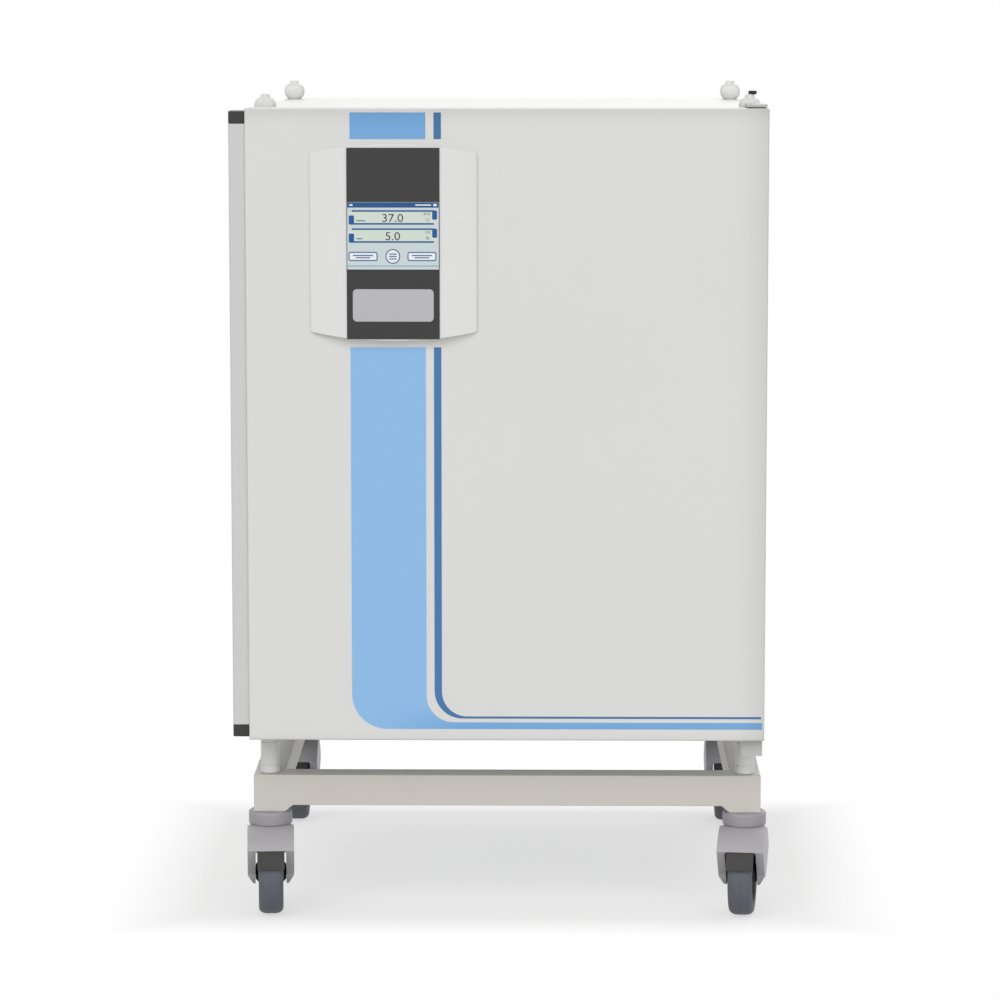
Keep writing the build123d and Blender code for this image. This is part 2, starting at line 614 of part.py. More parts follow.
def back_panel():
    """Rear sheet, cut for the port, the sockets and the vents."""
    outline = RectangleRounded(CABINET_HALF * 2, CABINET_TOP - CABINET_BOTTOM, CABINET_CORNER_RADIUS)
    middle = (CABINET_TOP + CABINET_BOTTOM) / 2
    panel = upright_plate(outline, 0, middle, CABINET_BACK - SHEET, CABINET_BACK)
    y_range = (CABINET_BACK - SHEET - 1, CABINET_BACK + 1)
    panel -= rod(PORT_RADIUS, (PORT_X, y_range[0], PORT_Z), (PORT_X, y_range[1], PORT_Z))
    panel -= socket_cuts(y_range)
    grid = GridLocations(VENT_PITCH_X, VENT_PITCH_Z, VENT_COLUMNS, VENT_ROWS)
    vents = Sketch() + grid * SlotOverall(VENT_LENGTH, VENT_WIDTH, rotation=90)
    return panel - upright_plate(vents, VENT_X, CABINET_BOTTOM + VENT_ABOVE_BOTTOM, *y_range)


def socket_cuts(y_range):
    """Cuts for the inlet, the rocker and the sockets."""
    cuts = block_at(PANEL_X + INLET_OFFSET, PANEL_Z, INLET_WIDTH, INLET_HEIGHT, y_range)
    wide, high = ROCKER_WIDTH + 2 * ROCKER_GAP, ROCKER_HEIGHT + 2 * ROCKER_GAP
    cuts += block_at(PANEL_X + ROCKER_OFFSET, PANEL_Z, wide, high, y_range)
    for offset in SOCKET_OFFSETS:
        cuts += block_at(PANEL_X + offset, PANEL_Z, SOCKET_WIDTH, SOCKET_HEIGHT, y_range)
    return cuts


def block_at(x, z, width, height, y_range):
    """Box across the depth, given by its middle as seen from the rear."""
    return block((x - width / 2, x + width / 2), y_range, (z - height / 2, z + height / 2))


def front_frame():
    """Moulded frame around the chamber's mouth."""
    y_range = (FRAME_FACE, FRAME_FACE + FRONT_FRAME_DEPTH)
    above_pan = block((-DOOR_WIDTH, DOOR_WIDTH), y_range, (CABINET_BOTTOM + SHEET, CABINET_TOP))
    return (cabinet_inside(y_range) & above_pan) - chamber_solid(SHEET)


def chamber_solid(wall):
    """The chamber's space as a solid, grown by a wall on its closed sides."""
    width = CHAMBER_HALF * 2 + 2 * wall
    height = CHAMBER_CEILING - CHAMBER_FLOOR + 2 * wall
    outline = RectangleRounded(width, height, CHAMBER_CORNER_RADIUS + wall)
    space = upright_plate(outline, 0, CHAMBER_MIDDLE, CHAMBER_FRONT, CHAMBER_REAR + wall)
    return fillet(space.faces().sort_by(Axis.Y)[-1].edges(), CHAMBER_CORNER_RADIUS + wall)


def rear_bores(y_range):
    """Bores of the access port and the fan shaft."""
    port = rod(PORT_RADIUS, (PORT_X, y_range[0], PORT_Z), (PORT_X, y_range[1], PORT_Z))
    return port + rod(FAN_SHAFT_HOLE_RADIUS, (0, y_range[0], FAN_Z), (0, y_range[1], FAN_Z))


def chamber_liner():
    """Stainless steel chamber with rounded corners and a front flange."""
    width, height = CHAMBER_HALF * 2, CHAMBER_CEILING - CHAMBER_FLOOR
    reach = 2 * (SHEET + LINER_FLANGE)
    flange = RectangleRounded(width + reach, height + reach, CHAMBER_CORNER_RADIUS)
    liner = chamber_solid(SHEET) + upright_plate(flange, 0, CHAMBER_MIDDLE, CHAMBER_FRONT, FRAME_FACE)
    liner -= chamber_solid(0)
    return liner - rear_bores((CHAMBER_REAR - 1, CHAMBER_REAR + SHEET + 1))


def insulation_boards():
    """Foam boards around the chamber, and the sleeve that the access port runs through."""
    front, rear = FRAME_FACE + FRONT_FRAME_DEPTH, CHAMBER_REAR + SHEET
    inner, outer = CHAMBER_HALF + SHEET, CABINET_HALF - SHEET
    low, high = CHAMBER_FLOOR - SHEET, CHAMBER_CEILING + SHEET
    cabinet_space = cabinet_inside((front, JACKET_BACK))
    boards = [
        block((-outer, outer), (front, rear), (CABINET_BOTTOM + SHEET, low)),
        block((-outer, outer), (front, rear), (high, CABINET_TOP)) & cabinet_space,
        block((-outer, -inner), (front, rear), (low, high)),
        block((inner, outer), (front, rear), (low, high)),
    ]
    back = block((-outer, outer), (rear, JACKET_BACK), (CABINET_BOTTOM + SHEET, CABINET_TOP)) & cabinet_space
    sleeve = rod(PORT_BOSS_RADIUS, (PORT_X, JACKET_BACK, PORT_Z), (PORT_X, CABINET_BACK - SHEET, PORT_Z))
    bores = rear_bores((CHAMBER_REAR, CABINET_BACK))
    return Compound([*boards, back - bores, sleeve - bores])


def chamber_gasket():
    """Seal that the glass closes on."""
    width = CHAMBER_HALF * 2 + 2 * SHEET
    height = CHAMBER_CEILING - CHAMBER_FLOOR + 2 * SHEET
    reach = 2 * CHAMBER_GASKET_WIDTH
    outer = RectangleRounded(width + reach, height + reach, CHAMBER_CORNER_RADIUS)
    inner = RectangleRounded(width, height, CHAMBER_CORNER_RADIUS)
    front = CHAMBER_FRONT - CHAMBER_GASKET_THICKNESS
    return ring_plate(outer, inner, 0, CHAMBER_MIDDLE, front, CHAMBER_FRONT)


def hinge_brackets():
    """Lower and upper brackets of the outer door, each with its pin."""
    x_range = (DOOR_HALF - HINGE_BRACKET_EDGE - HINGE_BRACKET_WIDTH, DOOR_HALF - HINGE_BRACKET_EDGE)
    plate_y = (FRAME_FACE - HINGE_PLATE, FRAME_FACE)
    arm_y = (HINGE_ARM_FRONT, FRAME_FACE)
    lower_top = DOOR_BOTTOM - HINGE_DOOR_GAP
    lower_bottom = DOOR_BOTTOM - LOWER_HINGE_DROP
    lower = block(x_range, arm_y, (lower_bottom, lower_top))
    lower += block(x_range, plate_y, (lower_bottom, CABINET_BOTTOM + LOWER_HINGE_RISE))
    lower += post(HINGE_PIN_RADIUS, HINGE_X, HINGE_Y, lower_bottom, DOOR_BOTTOM + HINGE_PIN_REACH)
    upper_bottom = DOOR_TOP + HINGE_DOOR_GAP
    upper_top = upper_bottom + UPPER_HINGE_ARM
    upper = block(x_range, arm_y, (upper_bottom, upper_top))
    upper += block(x_range, plate_y, (CABINET_TOP - UPPER_HINGE_DROP, upper_top))
    upper += post(HINGE_PIN_RADIUS, HINGE_X, HINGE_Y, DOOR_TOP - HINGE_PIN_REACH, upper_top)
    return Compound([lower, upper])


def stacking_mounts():
    """Three-lobed mounts that hold the feet of a second cabinet."""
    mounts = []
    for y in STACKING_DEPTHS:
        for side in (-1, 1):
            outline = Circle(STACKING_CORE_RADIUS)
            outline += PolarLocations(LOBE_OFFSET, STACKING_LOBES, start_angle=90) * Circle(LOBE_RADIUS)
            mounts.append(extrude(Pos(side * STACKING_X, y, CABINET_TOP) * outline, STACKING_HEIGHT))
    return Compound(mounts)


def rack_uprights():
    """Posts on the chamber's side walls that carry the shelf rails."""
    posts = []
    z_range = (CHAMBER_FLOOR + UPRIGHT_END_GAP, CHAMBER_CEILING - UPRIGHT_END_GAP)
    for y in (CHAMBER_FRONT + UPRIGHT_FRONT_DEPTH, CHAMBER_REAR - UPRIGHT_REAR_DEPTH - UPRIGHT_WIDTH):
        for side in (-1, 1):
            x_range = sorted((side * UPRIGHT_FACE, side * (UPRIGHT_FACE + UPRIGHT_THICKNESS)))
            posts.append(block(x_range, (y, y + UPRIGHT_WIDTH), z_range))
    return Compound(posts)


def shelf_rails():
    """Angle rails, a pair for each shelf."""
    rails = []
    y_range = (SHELF_FRONT, SHELF_REAR)
    for level in SHELF_LEVELS:
        for side in (-1, 1):
            web_x = sorted((side * RAIL_FACE, side * (RAIL_FACE - RAIL_SHEET)))
            flange_x = sorted((side * RAIL_FACE, side * (RAIL_FACE - RAIL_SHEET - RAIL_FLANGE)))
            rail = block(web_x, y_range, (level - RAIL_DOWN, level + RAIL_UP))
            rails.append(rail + block(flange_x, y_range, (level - RAIL_SHEET, level)))
    return Compound(rails)


def shelf(level):
    """Perforated shelf with a turned-up rim."""
    y_range = (SHELF_FRONT, SHELF_REAR)
    tray = block((-SHELF_HALF, SHELF_HALF), y_range, (level, level + SHELF_RIM))
    inner_half = SHELF_HALF - SHELF_SHEET
    inner_y = (SHELF_FRONT + SHELF_SHEET, SHELF_REAR - SHELF_SHEET)
    tray -= block((-inner_half, inner_half), inner_y, (level + SHELF_SHEET, level + SHELF_RIM))
    columns = int((2 * SHELF_HALF - 2 * SHELF_SLOT_MARGIN) // SHELF_SLOT_PITCH_X)
    rows = int((SHELF_REAR - SHELF_FRONT - 2 * SHELF_SLOT_MARGIN) // SHELF_SLOT_PITCH_Y)
    grid = GridLocations(SHELF_SLOT_PITCH_X, SHELF_SLOT_PITCH_Y, columns, rows)
    slots = Sketch() + grid * SlotOverall(SHELF_SLOT_LENGTH, SHELF_SLOT_WIDTH)
    place = Pos(0, (SHELF_FRONT + SHELF_REAR) / 2, level)
    return tray - extrude(place * slots, SHELF_SHEET)


def humidity_pan():
    """Water pan on the chamber floor."""
    half = CHAMBER_HALF - PAN_SIDE_GAP
    y_range = (CHAMBER_FRONT + PAN_FRONT_DEPTH, CHAMBER_REAR - PAN_REAR_DEPTH)
    low = CHAMBER_FLOOR + SEAT_GAP
    pan = block((-half, half), y_range, (low, low + PAN_HEIGHT))
    pan = fillet(pan.edges().filter_by(Axis.Z), PAN_CORNER_RADIUS)
    inner = block(
        (-half + PAN_WALL, half - PAN_WALL),
        (y_range[0] + PAN_WALL, y_range[1] - PAN_WALL),
        (low + PAN_WALL, low + PAN_HEIGHT),
    )
    return pan - fillet(inner.edges().filter_by(Axis.Z), PAN_CORNER_RADIUS - PAN_WALL)


def fan_cover():
    """Slotted steel cover over the circulation fan."""
    back = CHAMBER_REAR - SEAT_GAP
    front = back - FAN_COVER_DEPTH
    half, high, sheet = FAN_COVER_HALF_WIDTH, FAN_COVER_HALF_HEIGHT, FAN_COVER_SHEET
    cover = block((-half, half), (front, back), (FAN_Z - high, FAN_Z + high))
    inner_z = (FAN_Z - high + sheet, FAN_Z + high - sheet)
    cover -= block((-half + sheet, half - sheet), (front + sheet, back), inner_z)
    row = GridLocations(FAN_COVER_SLOT_PITCH, 1, FAN_COVER_SLOTS, 1)
    slots = Sketch() + row * SlotOverall(FAN_COVER_SLOT_HEIGHT, FAN_COVER_SLOT_WIDTH, rotation=90)
    return cover - upright_plate(slots, 0, FAN_Z, front - 1, front + sheet + 1)


def fan_impeller():
    """Radial fan wheel with its shaft."""
    front = FAN_REAR - FAN_DEPTH
    wheel = rod(FAN_HUB_RADIUS, (0, front, FAN_Z), (0, FAN_REAR, FAN_Z))
    wheel += rod(FAN_RADIUS, (0, FAN_REAR - FAN_BLADE_THICKNESS, FAN_Z), (0, FAN_REAR, FAN_Z))
    for i in range(FAN_BLADE_COUNT):
        blade = block((0, FAN_RADIUS), (front, FAN_REAR), (0, FAN_BLADE_THICKNESS))
        wheel += Pos(0, 0, FAN_Z) * Rot(0, i * 360 / FAN_BLADE_COUNT, 0) * blade
    motor_middle = JACKET_BACK + MOTOR_LENGTH / 2
    return wheel + rod(FAN_SHAFT_RADIUS, (0, front, FAN_Z), (0, motor_middle, FAN_Z))


def fan_motor():
    """Fan motor behind the chamber's insulation."""
    motor = rod(MOTOR_FLANGE_RADIUS, (0, JACKET_BACK, FAN_Z), (0, JACKET_BACK + MOTOR_FLANGE, FAN_Z))
    motor += rod(MOTOR_RADIUS, (0, JACKET_BACK, FAN_Z), (0, JACKET_BACK + MOTOR_LENGTH, FAN_Z))
    bore_end = JACKET_BACK + MOTOR_LENGTH / 2 + SEAT_GAP
    return motor - rod(FAN_SHAFT_RADIUS + RUNNING_GAP, (0, JACKET_BACK - 1, FAN_Z), (0, bore_end, FAN_Z))


def sensor_head():
    """Temperature and gas sensor under the chamber's ceiling."""
    top = CHAMBER_CEILING - SEAT_GAP
    head = post(SENSOR_RADIUS, SENSOR_X, SENSOR_Y, top - SENSOR_LENGTH, top)
    return fillet(head.faces().sort_by(Axis.Z)[0].edges(), SENSOR_RADIUS / 3)


def control_board():
    """Circuit board behind the insulation, on four standoffs."""
    z = CABINET_TOP - BOARD_BELOW_TOP
    front = JACKET_BACK + BOARD_STANDOFF
    board = block_at(BOARD_X, z, BOARD_WIDTH, BOARD_HEIGHT, (front, front + BOARD_THICKNESS))
    for x_side in (-1, 1):
        for z_side in (-1, 1):
            x = BOARD_X + x_side * (BOARD_WIDTH / 2 - SCREW_INSET)
            post_z = z + z_side * (BOARD_HEIGHT / 2 - SCREW_INSET)
            board += rod(STANDOFF_RADIUS, (x, JACKET_BACK, post_z), (x, front, post_z))
    return board


def supply_panel():
    """Raised plate on the back that holds the inlet, the rocker and the sockets."""
    plate = block_at(PANEL_X, PANEL_Z, PANEL_WIDTH, PANEL_HEIGHT, (CABINET_BACK, PANEL_FACE))
    return plate - socket_cuts((CABINET_BACK - 1, PANEL_FACE + 1))


def mains_inlet():
    """Three-pin appliance inlet."""
    x = PANEL_X + INLET_OFFSET
    flange_y = (PANEL_FACE, PANEL_FACE + INLET_FLANGE)
    rim = INLET_FLANGE * 2
    inlet = block_at(x, PANEL_Z, INLET_WIDTH + rim, INLET_HEIGHT + rim, flange_y)
    inlet += block_at(x, PANEL_Z, INLET_WIDTH, INLET_HEIGHT, (PANEL_FACE - INLET_BODY_DEPTH, flange_y[0]))
    cavity_floor = flange_y[1] - INLET_CAVITY_DEPTH
    inlet -= block_at(x, PANEL_Z, INLET_CAVITY_WIDTH, INLET_CAVITY_HEIGHT, (cavity_floor, flange_y[1]))
    pin_y = (cavity_floor - 1, cavity_floor + INLET_PIN_LENGTH)
    for offset, drop in ((-INLET_PIN_SPACING, -2), (0, 2), (INLET_PIN_SPACING, -2)):
        inlet += block_at(x + offset, PANEL_Z + drop, INLET_PIN, INLET_PIN * 2, pin_y)
    return inlet


def power_rocker():
    """Mains switch rocker, tilted to its off side."""
    rocker = Box(ROCKER_WIDTH, ROCKER_DEPTH, ROCKER_HEIGHT)
    return Pos(PANEL_X + ROCKER_OFFSET, PANEL_FACE, PANEL_Z) * Rot(-ROCKER_TILT, 0, 0) * rocker


def signal_sockets():
    """Data and alarm sockets."""
    sockets = []
    front, back = PANEL_FACE - SOCKET_BODY_DEPTH, PANEL_FACE + SOCKET_REACH
    for offset in SOCKET_OFFSETS:
        x = PANEL_X + offset
        body = block_at(x, PANEL_Z, SOCKET_WIDTH, SOCKET_HEIGHT, (front, back))
        cavity = (back - SOCKET_CAVITY_DEPTH, back)
        sockets.append(body - block_at(x, PANEL_Z, SOCKET_CAVITY_WIDTH, SOCKET_CAVITY_HEIGHT, cavity))
    return Compound(sockets)


def gas_nipple():
    """Hose nipple for the gas supply."""
    base_end = CABINET_BACK + NIPPLE_BASE
    hexagon = RegularPolygon(NIPPLE_BASE_RADIUS, 6)
    nipple = upright_plate(hexagon, NIPPLE_X, NIPPLE_Z, CABINET_BACK, base_end)
    nipple += rod(NIPPLE_RADIUS, (NIPPLE_X, CABINET_BACK, NIPPLE_Z), (NIPPLE_X, REAR_MOST, NIPPLE_Z))
    return nipple - rod(NIPPLE_BORE, (NIPPLE_X, base_end - 1, NIPPLE_Z), (NIPPLE_X, REAR_MOST, NIPPLE_Z))


def port_plug():
    """Stopper of the access port."""
    start, flange_start = CABINET_BACK - PLUG_DEPTH, CABINET_BACK + SEAT_GAP
    stopper = rod(PORT_RADIUS - PLUG_GAP, (PORT_X, start, PORT_Z), (PORT_X, flange_start, PORT_Z))
    stopper = chamfer(stopper.faces().sort_by(Axis.Y)[0].edges(), PLUG_TAPER)
    flange_end = flange_start + PLUG_FLANGE
    return stopper + rod(PLUG_FLANGE_RADIUS, (PORT_X, flange_start, PORT_Z), (PORT_X, flange_end, PORT_Z))


def cabinet_screws():
    """Heads of the screws that hold the back panel, the supply panel and the hinges."""
    heads = []
    for side in (-1, 1):
        x = side * (CABINET_HALF - SCREW_INSET)
        low, high = CABINET_BOTTOM + SCREW_INSET, CABINET_TOP - SCREW_INSET
        for i in range(SCREWS_PER_EDGE):
            heads.append(screw_head(x, low + (high - low) * i / (SCREWS_PER_EDGE - 1), CABINET_BACK, 1))
    for x_side in (-1, 1):
        for z_side in (-1, 1):
            x = PANEL_X + x_side * (PANEL_WIDTH / 2 - SCREW_INSET)
            heads.append(screw_head(x, PANEL_Z + z_side * (PANEL_HEIGHT / 2 - SCREW_INSET), PANEL_FACE, 1))
    plate_middle = DOOR_HALF - HINGE_BRACKET_EDGE - HINGE_BRACKET_WIDTH / 2
    lower_z = CABINET_BOTTOM + LOWER_HINGE_RISE / 2
    upper_z = CABINET_TOP - UPPER_HINGE_DROP / 2
    for z in (lower_z, upper_z):
        for x_side in (-1, 1):
            x = plate_middle + x_side * HINGE_BRACKET_WIDTH / 4
            heads.append(screw_head(x, z, FRAME_FACE - HINGE_PLATE, -1))
    return Compound(heads)


def screw_head(x, z, face, way):
    """Button head that stands out from a face."""
    head = rod(SCREW_RADIUS, (x, face, z), (x, face + way * SCREW_HEAD, z))
    outer = head.faces().sort_by(Axis.Y)[-1 if way > 0 else 0]
    return fillet(outer.edges(), SCREW_HEAD / 2)


def levelling_foot(x, y):
    """Screw foot that stands on the base."""
    low = BASE_TOP + SEAT_GAP
    high = CABINET_BOTTOM - FOOT_BLOCK_DROP - SEAT_GAP
    foot = rod(FOOT_RADIUS, (x, y, low), (x, y, high))
    foot += Pos(x, y, low) * Cone(
        FOOT_RING_RADIUS, FOOT_RADIUS, FOOT_RING, align=(Align.CENTER, Align.CENTER, Align.MIN)
    )
    return foot + rod(FOOT_SCREW_RADIUS, (x, y, high - 1), (x, y, high + FOOT_BLOCK_DROP + FOOT_SCREW_REACH))


def mitred_tube(length):
    """Square tube with mitred ends, along X, with its long side at the front."""
    width, height, wall = BASE_TUBE_WIDTH, BASE_TOP - BASE_BOTTOM, BASE_TUBE_WALL
    half = length / 2
    corners = ((-half, 0), (half, 0), (half - width, width), (width - half, width))
    outline = make_face(Polyline(*corners, close=True))
    tube = Pos(0, 0, BASE_BOTTOM) * extrude(outline, height)
    return tube - block((-half, half), (wall, width - wall), (BASE_BOTTOM + wall, BASE_TOP - wall))


def base_cross_beams():
    """Front and rear beams of the base, with the stubs that hold the casters."""
    beams = []
    length = BASE_HALF * 2
    for front, turn in ((BASE_FRONT_DEPTH, 0), (BASE_REAR, 180)):
        beam = Pos(0, front, 0) * Rot(0, 0, turn) * mitred_tube(length)
        centre = front + BASE_TUBE_WIDTH / 2 if turn == 0 else front - BASE_TUBE_WIDTH / 2
        for side in (-1, 1):
            beam += caster_stub(side, centre)
        beams.append(beam)
    return Compound(beams)


def caster_stub(side, y):
    """Stub under a beam's end, with a slanted inner shoulder."""
    outer, inner = BASE_HALF, BASE_HALF - LEG_WIDTH
    points = (
        (side * outer, BASE_BOTTOM),
        (side * outer, LEG_BOTTOM),
        (side * inner, LEG_BOTTOM),
        (side * (inner - LEG_SHOULDER), BASE_BOTTOM),
    )
    outline = make_face(Polyline(*points, close=True))
    front = y - BASE_TUBE_WIDTH / 2
    return upright_plate(outline, 0, 0, front, front + BASE_TUBE_WIDTH)


def base_side_rails():
    """Left and right rails of the base."""
    rails = []
    length = BASE_REAR - BASE_FRONT_DEPTH
    middle = (BASE_REAR + BASE_FRONT_DEPTH) / 2
    for side, turn in ((-1, -90), (1, 90)):
        rails.append(Pos(side * BASE_HALF, middle, 0) * Rot(0, 0, turn) * mitred_tube(length))
    return Compound(rails)


def caster_head(x, y):
    """Fixed cap of a caster, with its kingpin."""
    cap = rod(CAP_RADIUS, (x, y, CAP_BOTTOM), (x, y, LEG_BOTTOM))
    cap = fillet(cap.faces().sort_by(Axis.Z)[-1].edges(), CAP_EDGE_RADIUS)
    return cap + rod(KINGPIN_RADIUS, (x, y, FORK_TOP - KINGPIN_REACH), (x, y, CAP_BOTTOM + 1))


def caster_heads():
    """The four caster caps."""
    return Compound([caster_head(side * LEG_X, y) for side, y in CORNERS])


def fork_profile():
    """Side outline of a fork about the wheel's axle, as a face across X."""
    front, rear = radians(FORK_FRONT_ANGLE), radians(FORK_REAR_ANGLE)
    hood_front = (-FORK_RADIUS * sin(front - radians(90)), FORK_RADIUS * cos(front - radians(90)))
    hood_rear = (FORK_RADIUS * cos(rear), FORK_RADIUS * sin(rear))
    hood = ThreePointArc(hood_front, (0, FORK_RADIUS), hood_rear)
    boss = ThreePointArc((FORK_BOSS_RADIUS, 0), (0, -FORK_BOSS_RADIUS), (-FORK_BOSS_RADIUS, 0))
    rear_edge = Line(hood_rear, (FORK_BOSS_RADIUS, 0))
    front_edge = Line((-FORK_BOSS_RADIUS, 0), hood_front)
    return make_face([hood, rear_edge, boss, front_edge])


def caster_fork(x, y):
    """Swivelling fork with the guard over its wheel."""
    axle_y = y - CASTER_TRAIL
    axle_plane = Plane(origin=(x - FORK_WIDTH / 2, axle_y, WHEEL_RADIUS), x_dir=(0, 1, 0), z_dir=(1, 0, 0))
    fork = extrude(axle_plane * fork_profile(), FORK_WIDTH)
    fork += rod(FORK_CROWN_RADIUS, (x, y, WHEEL_RADIUS * 2 - FORK_CROWN_RADIUS / 2), (x, y, FORK_TOP))
    slot_half = FORK_GAP_WIDTH / 2
    fork -= rod(SLOT_RADIUS, (x - slot_half, axle_y, WHEEL_RADIUS), (x + slot_half, axle_y, WHEEL_RADIUS))
    fork -= rod(KINGPIN_RADIUS + RUNNING_GAP, (x, y, WHEEL_RADIUS), (x, y, FORK_TOP + 1))
    reach = FORK_WIDTH / 2 + 1
    fork -= rod(AXLE_RADIUS, (x - reach, axle_y, WHEEL_RADIUS), (x + reach, axle_y, WHEEL_RADIUS))
    return Compound([fork, tyre_guard(x, axle_y) - fork])


def tyre_guard(x, axle_y):
    """Dark strip that continues the fork's hood down in front of the tyre."""
    start, end = radians(FORK_FRONT_ANGLE), radians(GUARD_END_ANGLE)
    middle = (start + end) / 2
    outer = SLOT_RADIUS + GUARD_THICKNESS
    inner_arc = ThreePointArc(*[polar_point(SLOT_RADIUS, a) for a in (start, middle, end)])
    outer_arc = ThreePointArc(*[polar_point(outer, a) for a in (end, middle, start)])
    end_edge = Line(polar_point(SLOT_RADIUS, end), polar_point(outer, end))
    start_edge = Line(polar_point(outer, start), polar_point(SLOT_RADIUS, start))
    face = make_face([inner_arc, end_edge, outer_arc, start_edge])
    plane = Plane(origin=(x - GUARD_WIDTH / 2, axle_y, WHEEL_RADIUS), x_dir=(0, 1, 0), z_dir=(1, 0, 0))
    return extrude(plane * face, GUARD_WIDTH)


def polar_point(radius, angle):
    """Point on a circle about the axle."""
    return (radius * cos(angle), radius * sin(angle))


def caster_axle(x, y):
    """Axle bolt of a wheel."""
    axle_y, half = y - CASTER_TRAIL, FORK_WIDTH / 2
    return rod(AXLE_RADIUS, (x - half, axle_y, WHEEL_RADIUS), (x + half, axle_y, WHEEL_RADIUS))


def caster_wheel(x, y):
    """Hub and tyre of a wheel."""
    axle = (y - CASTER_TRAIL, WHEEL_RADIUS)
    hub_radius = WHEEL_RADIUS - TYRE_DEPTH
    tyre = across(x, axle, WHEEL_RADIUS, WHEEL_WIDTH / 2)
    tyre = fillet(tyre.edges().filter_by(GeomType.CIRCLE), WHEEL_SHOULDER)
    tyre -= across(x, axle, hub_radius, WHEEL_WIDTH)
    hub = across(x, axle, hub_radius, WHEEL_WIDTH / 2)
    hub += across(x, axle, HUB_BOSS_RADIUS, FORK_GAP_WIDTH / 2 - SEAT_GAP)
    hub -= across(x, axle, AXLE_RADIUS + RUNNING_GAP, FORK_WIDTH)
    return Compound([hub, tyre])


def across(x, axle, radius, half):
    """Cylinder about an axle, from one side to the other."""
    return rod(radius, (x - half, *axle), (x + half, *axle))


def save(name, shape):
    """Moves a piece to the part's origin and writes its solids."""
    placed = Pos(-ORIGIN_X, -ORIGIN_Y, 0) * shape
    export_step(Compound(placed.solids()), f"parts/{name}.step")


def main():
    """Builds and writes every node."""
    os.makedirs("parts", exist_ok=True)
    pieces = {
        "base_cross_beams": base_cross_beams(),
        "base_side_rails": base_side_rails(),
        "caster_heads": caster_heads(),
        "cabinet_wrap": cabinet_wrap(),
        "back_panel": back_panel(),
        "base_pan": base_pan(),
        "front_frame": front_frame(),
        "insulation_boards": insulation_boards(),
        "chamber_liner": chamber_liner(),
        "chamber_gasket": chamber_gasket(),
        "hinge_brackets": hinge_brackets(),
        "glass_hinge_brackets": glass_hinge_brackets(),
        "stacking_mounts": stacking_mounts(),
        "rack_uprights": rack_uprights(),
        "shelf_rails": shelf_rails(),
        "humidity_pan": humidity_pan(),
        "fan_cover": fan_cover(),
        "fan_impeller": fan_impeller(),
        "fan_motor": fan_motor(),
        "sensor_head": sensor_head(),
        "control_board": control_board(),
        "supply_panel": supply_panel(),
        "mains_inlet": mains_inlet(),
        "power_rocker": power_rocker(),
        "signal_sockets": signal_sockets(),
        "gas_nipple": gas_nipple(),
        "port_plug": port_plug(),
        "cabinet_screws": cabinet_screws(),
        "door_skin": door_skin(),
        "door_liner": door_liner(),
        "door_insulation": door_insulation(),
        "door_gasket": door_gasket(),
        "grip_strip": grip_strip(),
        "grip_caps": grip_caps(),
        "control_bezel": control_bezel(),
        "control_overlay": control_overlay(),
        "display_screen": display_screen(),
        "nameplate": nameplate(),
        "glass_pane": glass_pane(),
        "glass_clamps": glass_clamps(),
        "glass_pull": glass_pull(),
    }
    for number, level in enumerate(SHELF_LEVELS, start=1):
        pieces[f"shelf_{number}"] = shelf(level)
    for number, ((side, y), turn) in enumerate(zip(CORNERS, CASTER_TURNS), start=1):
        x = side * LEG_X
        swivel = Pos(x, y, 0) * Rot(0, 0, turn) * Pos(-x, -y, 0)
        pieces[f"levelling_foot_{number}"] = levelling_foot(x, y)
        pieces[f"caster_fork_{number}"] = swivel * caster_fork(x, y)
        pieces[f"caster_axle_{number}"] = swivel * caster_axle(x, y)
        pieces[f"caster_wheel_{number}"] = swivel * caster_wheel(x, y)
    for name, shape in pieces.items():
        save(name, shape)


main()
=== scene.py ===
"""Looks of a carbon dioxide incubator on a wheeled base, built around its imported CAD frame.

Sizes are in millimetres, measured as in the part's source: X from the middle of the cabinet, Y
backwards from the door's front face, Z up from the floor. Workshop.fit moves a drawn piece from
there to the frame, in metres.
"""

from __future__ import annotations

import json
import logging
from abc import ABC, abstractmethod
from dataclasses import dataclass
from enum import Enum
from math import cos, pi, radians, sin
from typing import Any, Callable, Iterable, Sequence

import bmesh
import bpy
from mathutils import Matrix, Vector

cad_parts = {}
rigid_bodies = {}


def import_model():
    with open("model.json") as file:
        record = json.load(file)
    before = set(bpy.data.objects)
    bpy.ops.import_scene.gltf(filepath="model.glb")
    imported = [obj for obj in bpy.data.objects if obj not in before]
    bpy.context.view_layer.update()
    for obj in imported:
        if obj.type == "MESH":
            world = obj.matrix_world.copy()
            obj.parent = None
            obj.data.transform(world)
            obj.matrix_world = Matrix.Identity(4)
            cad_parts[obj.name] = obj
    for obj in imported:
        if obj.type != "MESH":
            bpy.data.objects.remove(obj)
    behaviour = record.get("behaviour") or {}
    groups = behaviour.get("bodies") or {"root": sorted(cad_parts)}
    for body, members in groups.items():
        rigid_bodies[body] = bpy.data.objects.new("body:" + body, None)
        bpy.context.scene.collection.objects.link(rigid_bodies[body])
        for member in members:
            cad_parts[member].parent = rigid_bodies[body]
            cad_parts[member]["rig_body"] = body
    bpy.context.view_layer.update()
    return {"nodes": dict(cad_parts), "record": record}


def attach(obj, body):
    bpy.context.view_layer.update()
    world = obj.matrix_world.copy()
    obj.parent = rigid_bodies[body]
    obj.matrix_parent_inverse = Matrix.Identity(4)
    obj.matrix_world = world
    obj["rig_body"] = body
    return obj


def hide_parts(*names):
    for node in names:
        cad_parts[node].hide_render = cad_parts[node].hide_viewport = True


LOG = logging.getLogger("incubator")
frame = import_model()

MM = 0.001
ORIGIN_X = -7.75
ORIGIN_Y = 408.75
INTO_FRAME = Matrix.Scale(MM, 4) @ Matrix.Translation((-ORIGIN_X, -ORIGIN_Y, 0.0))

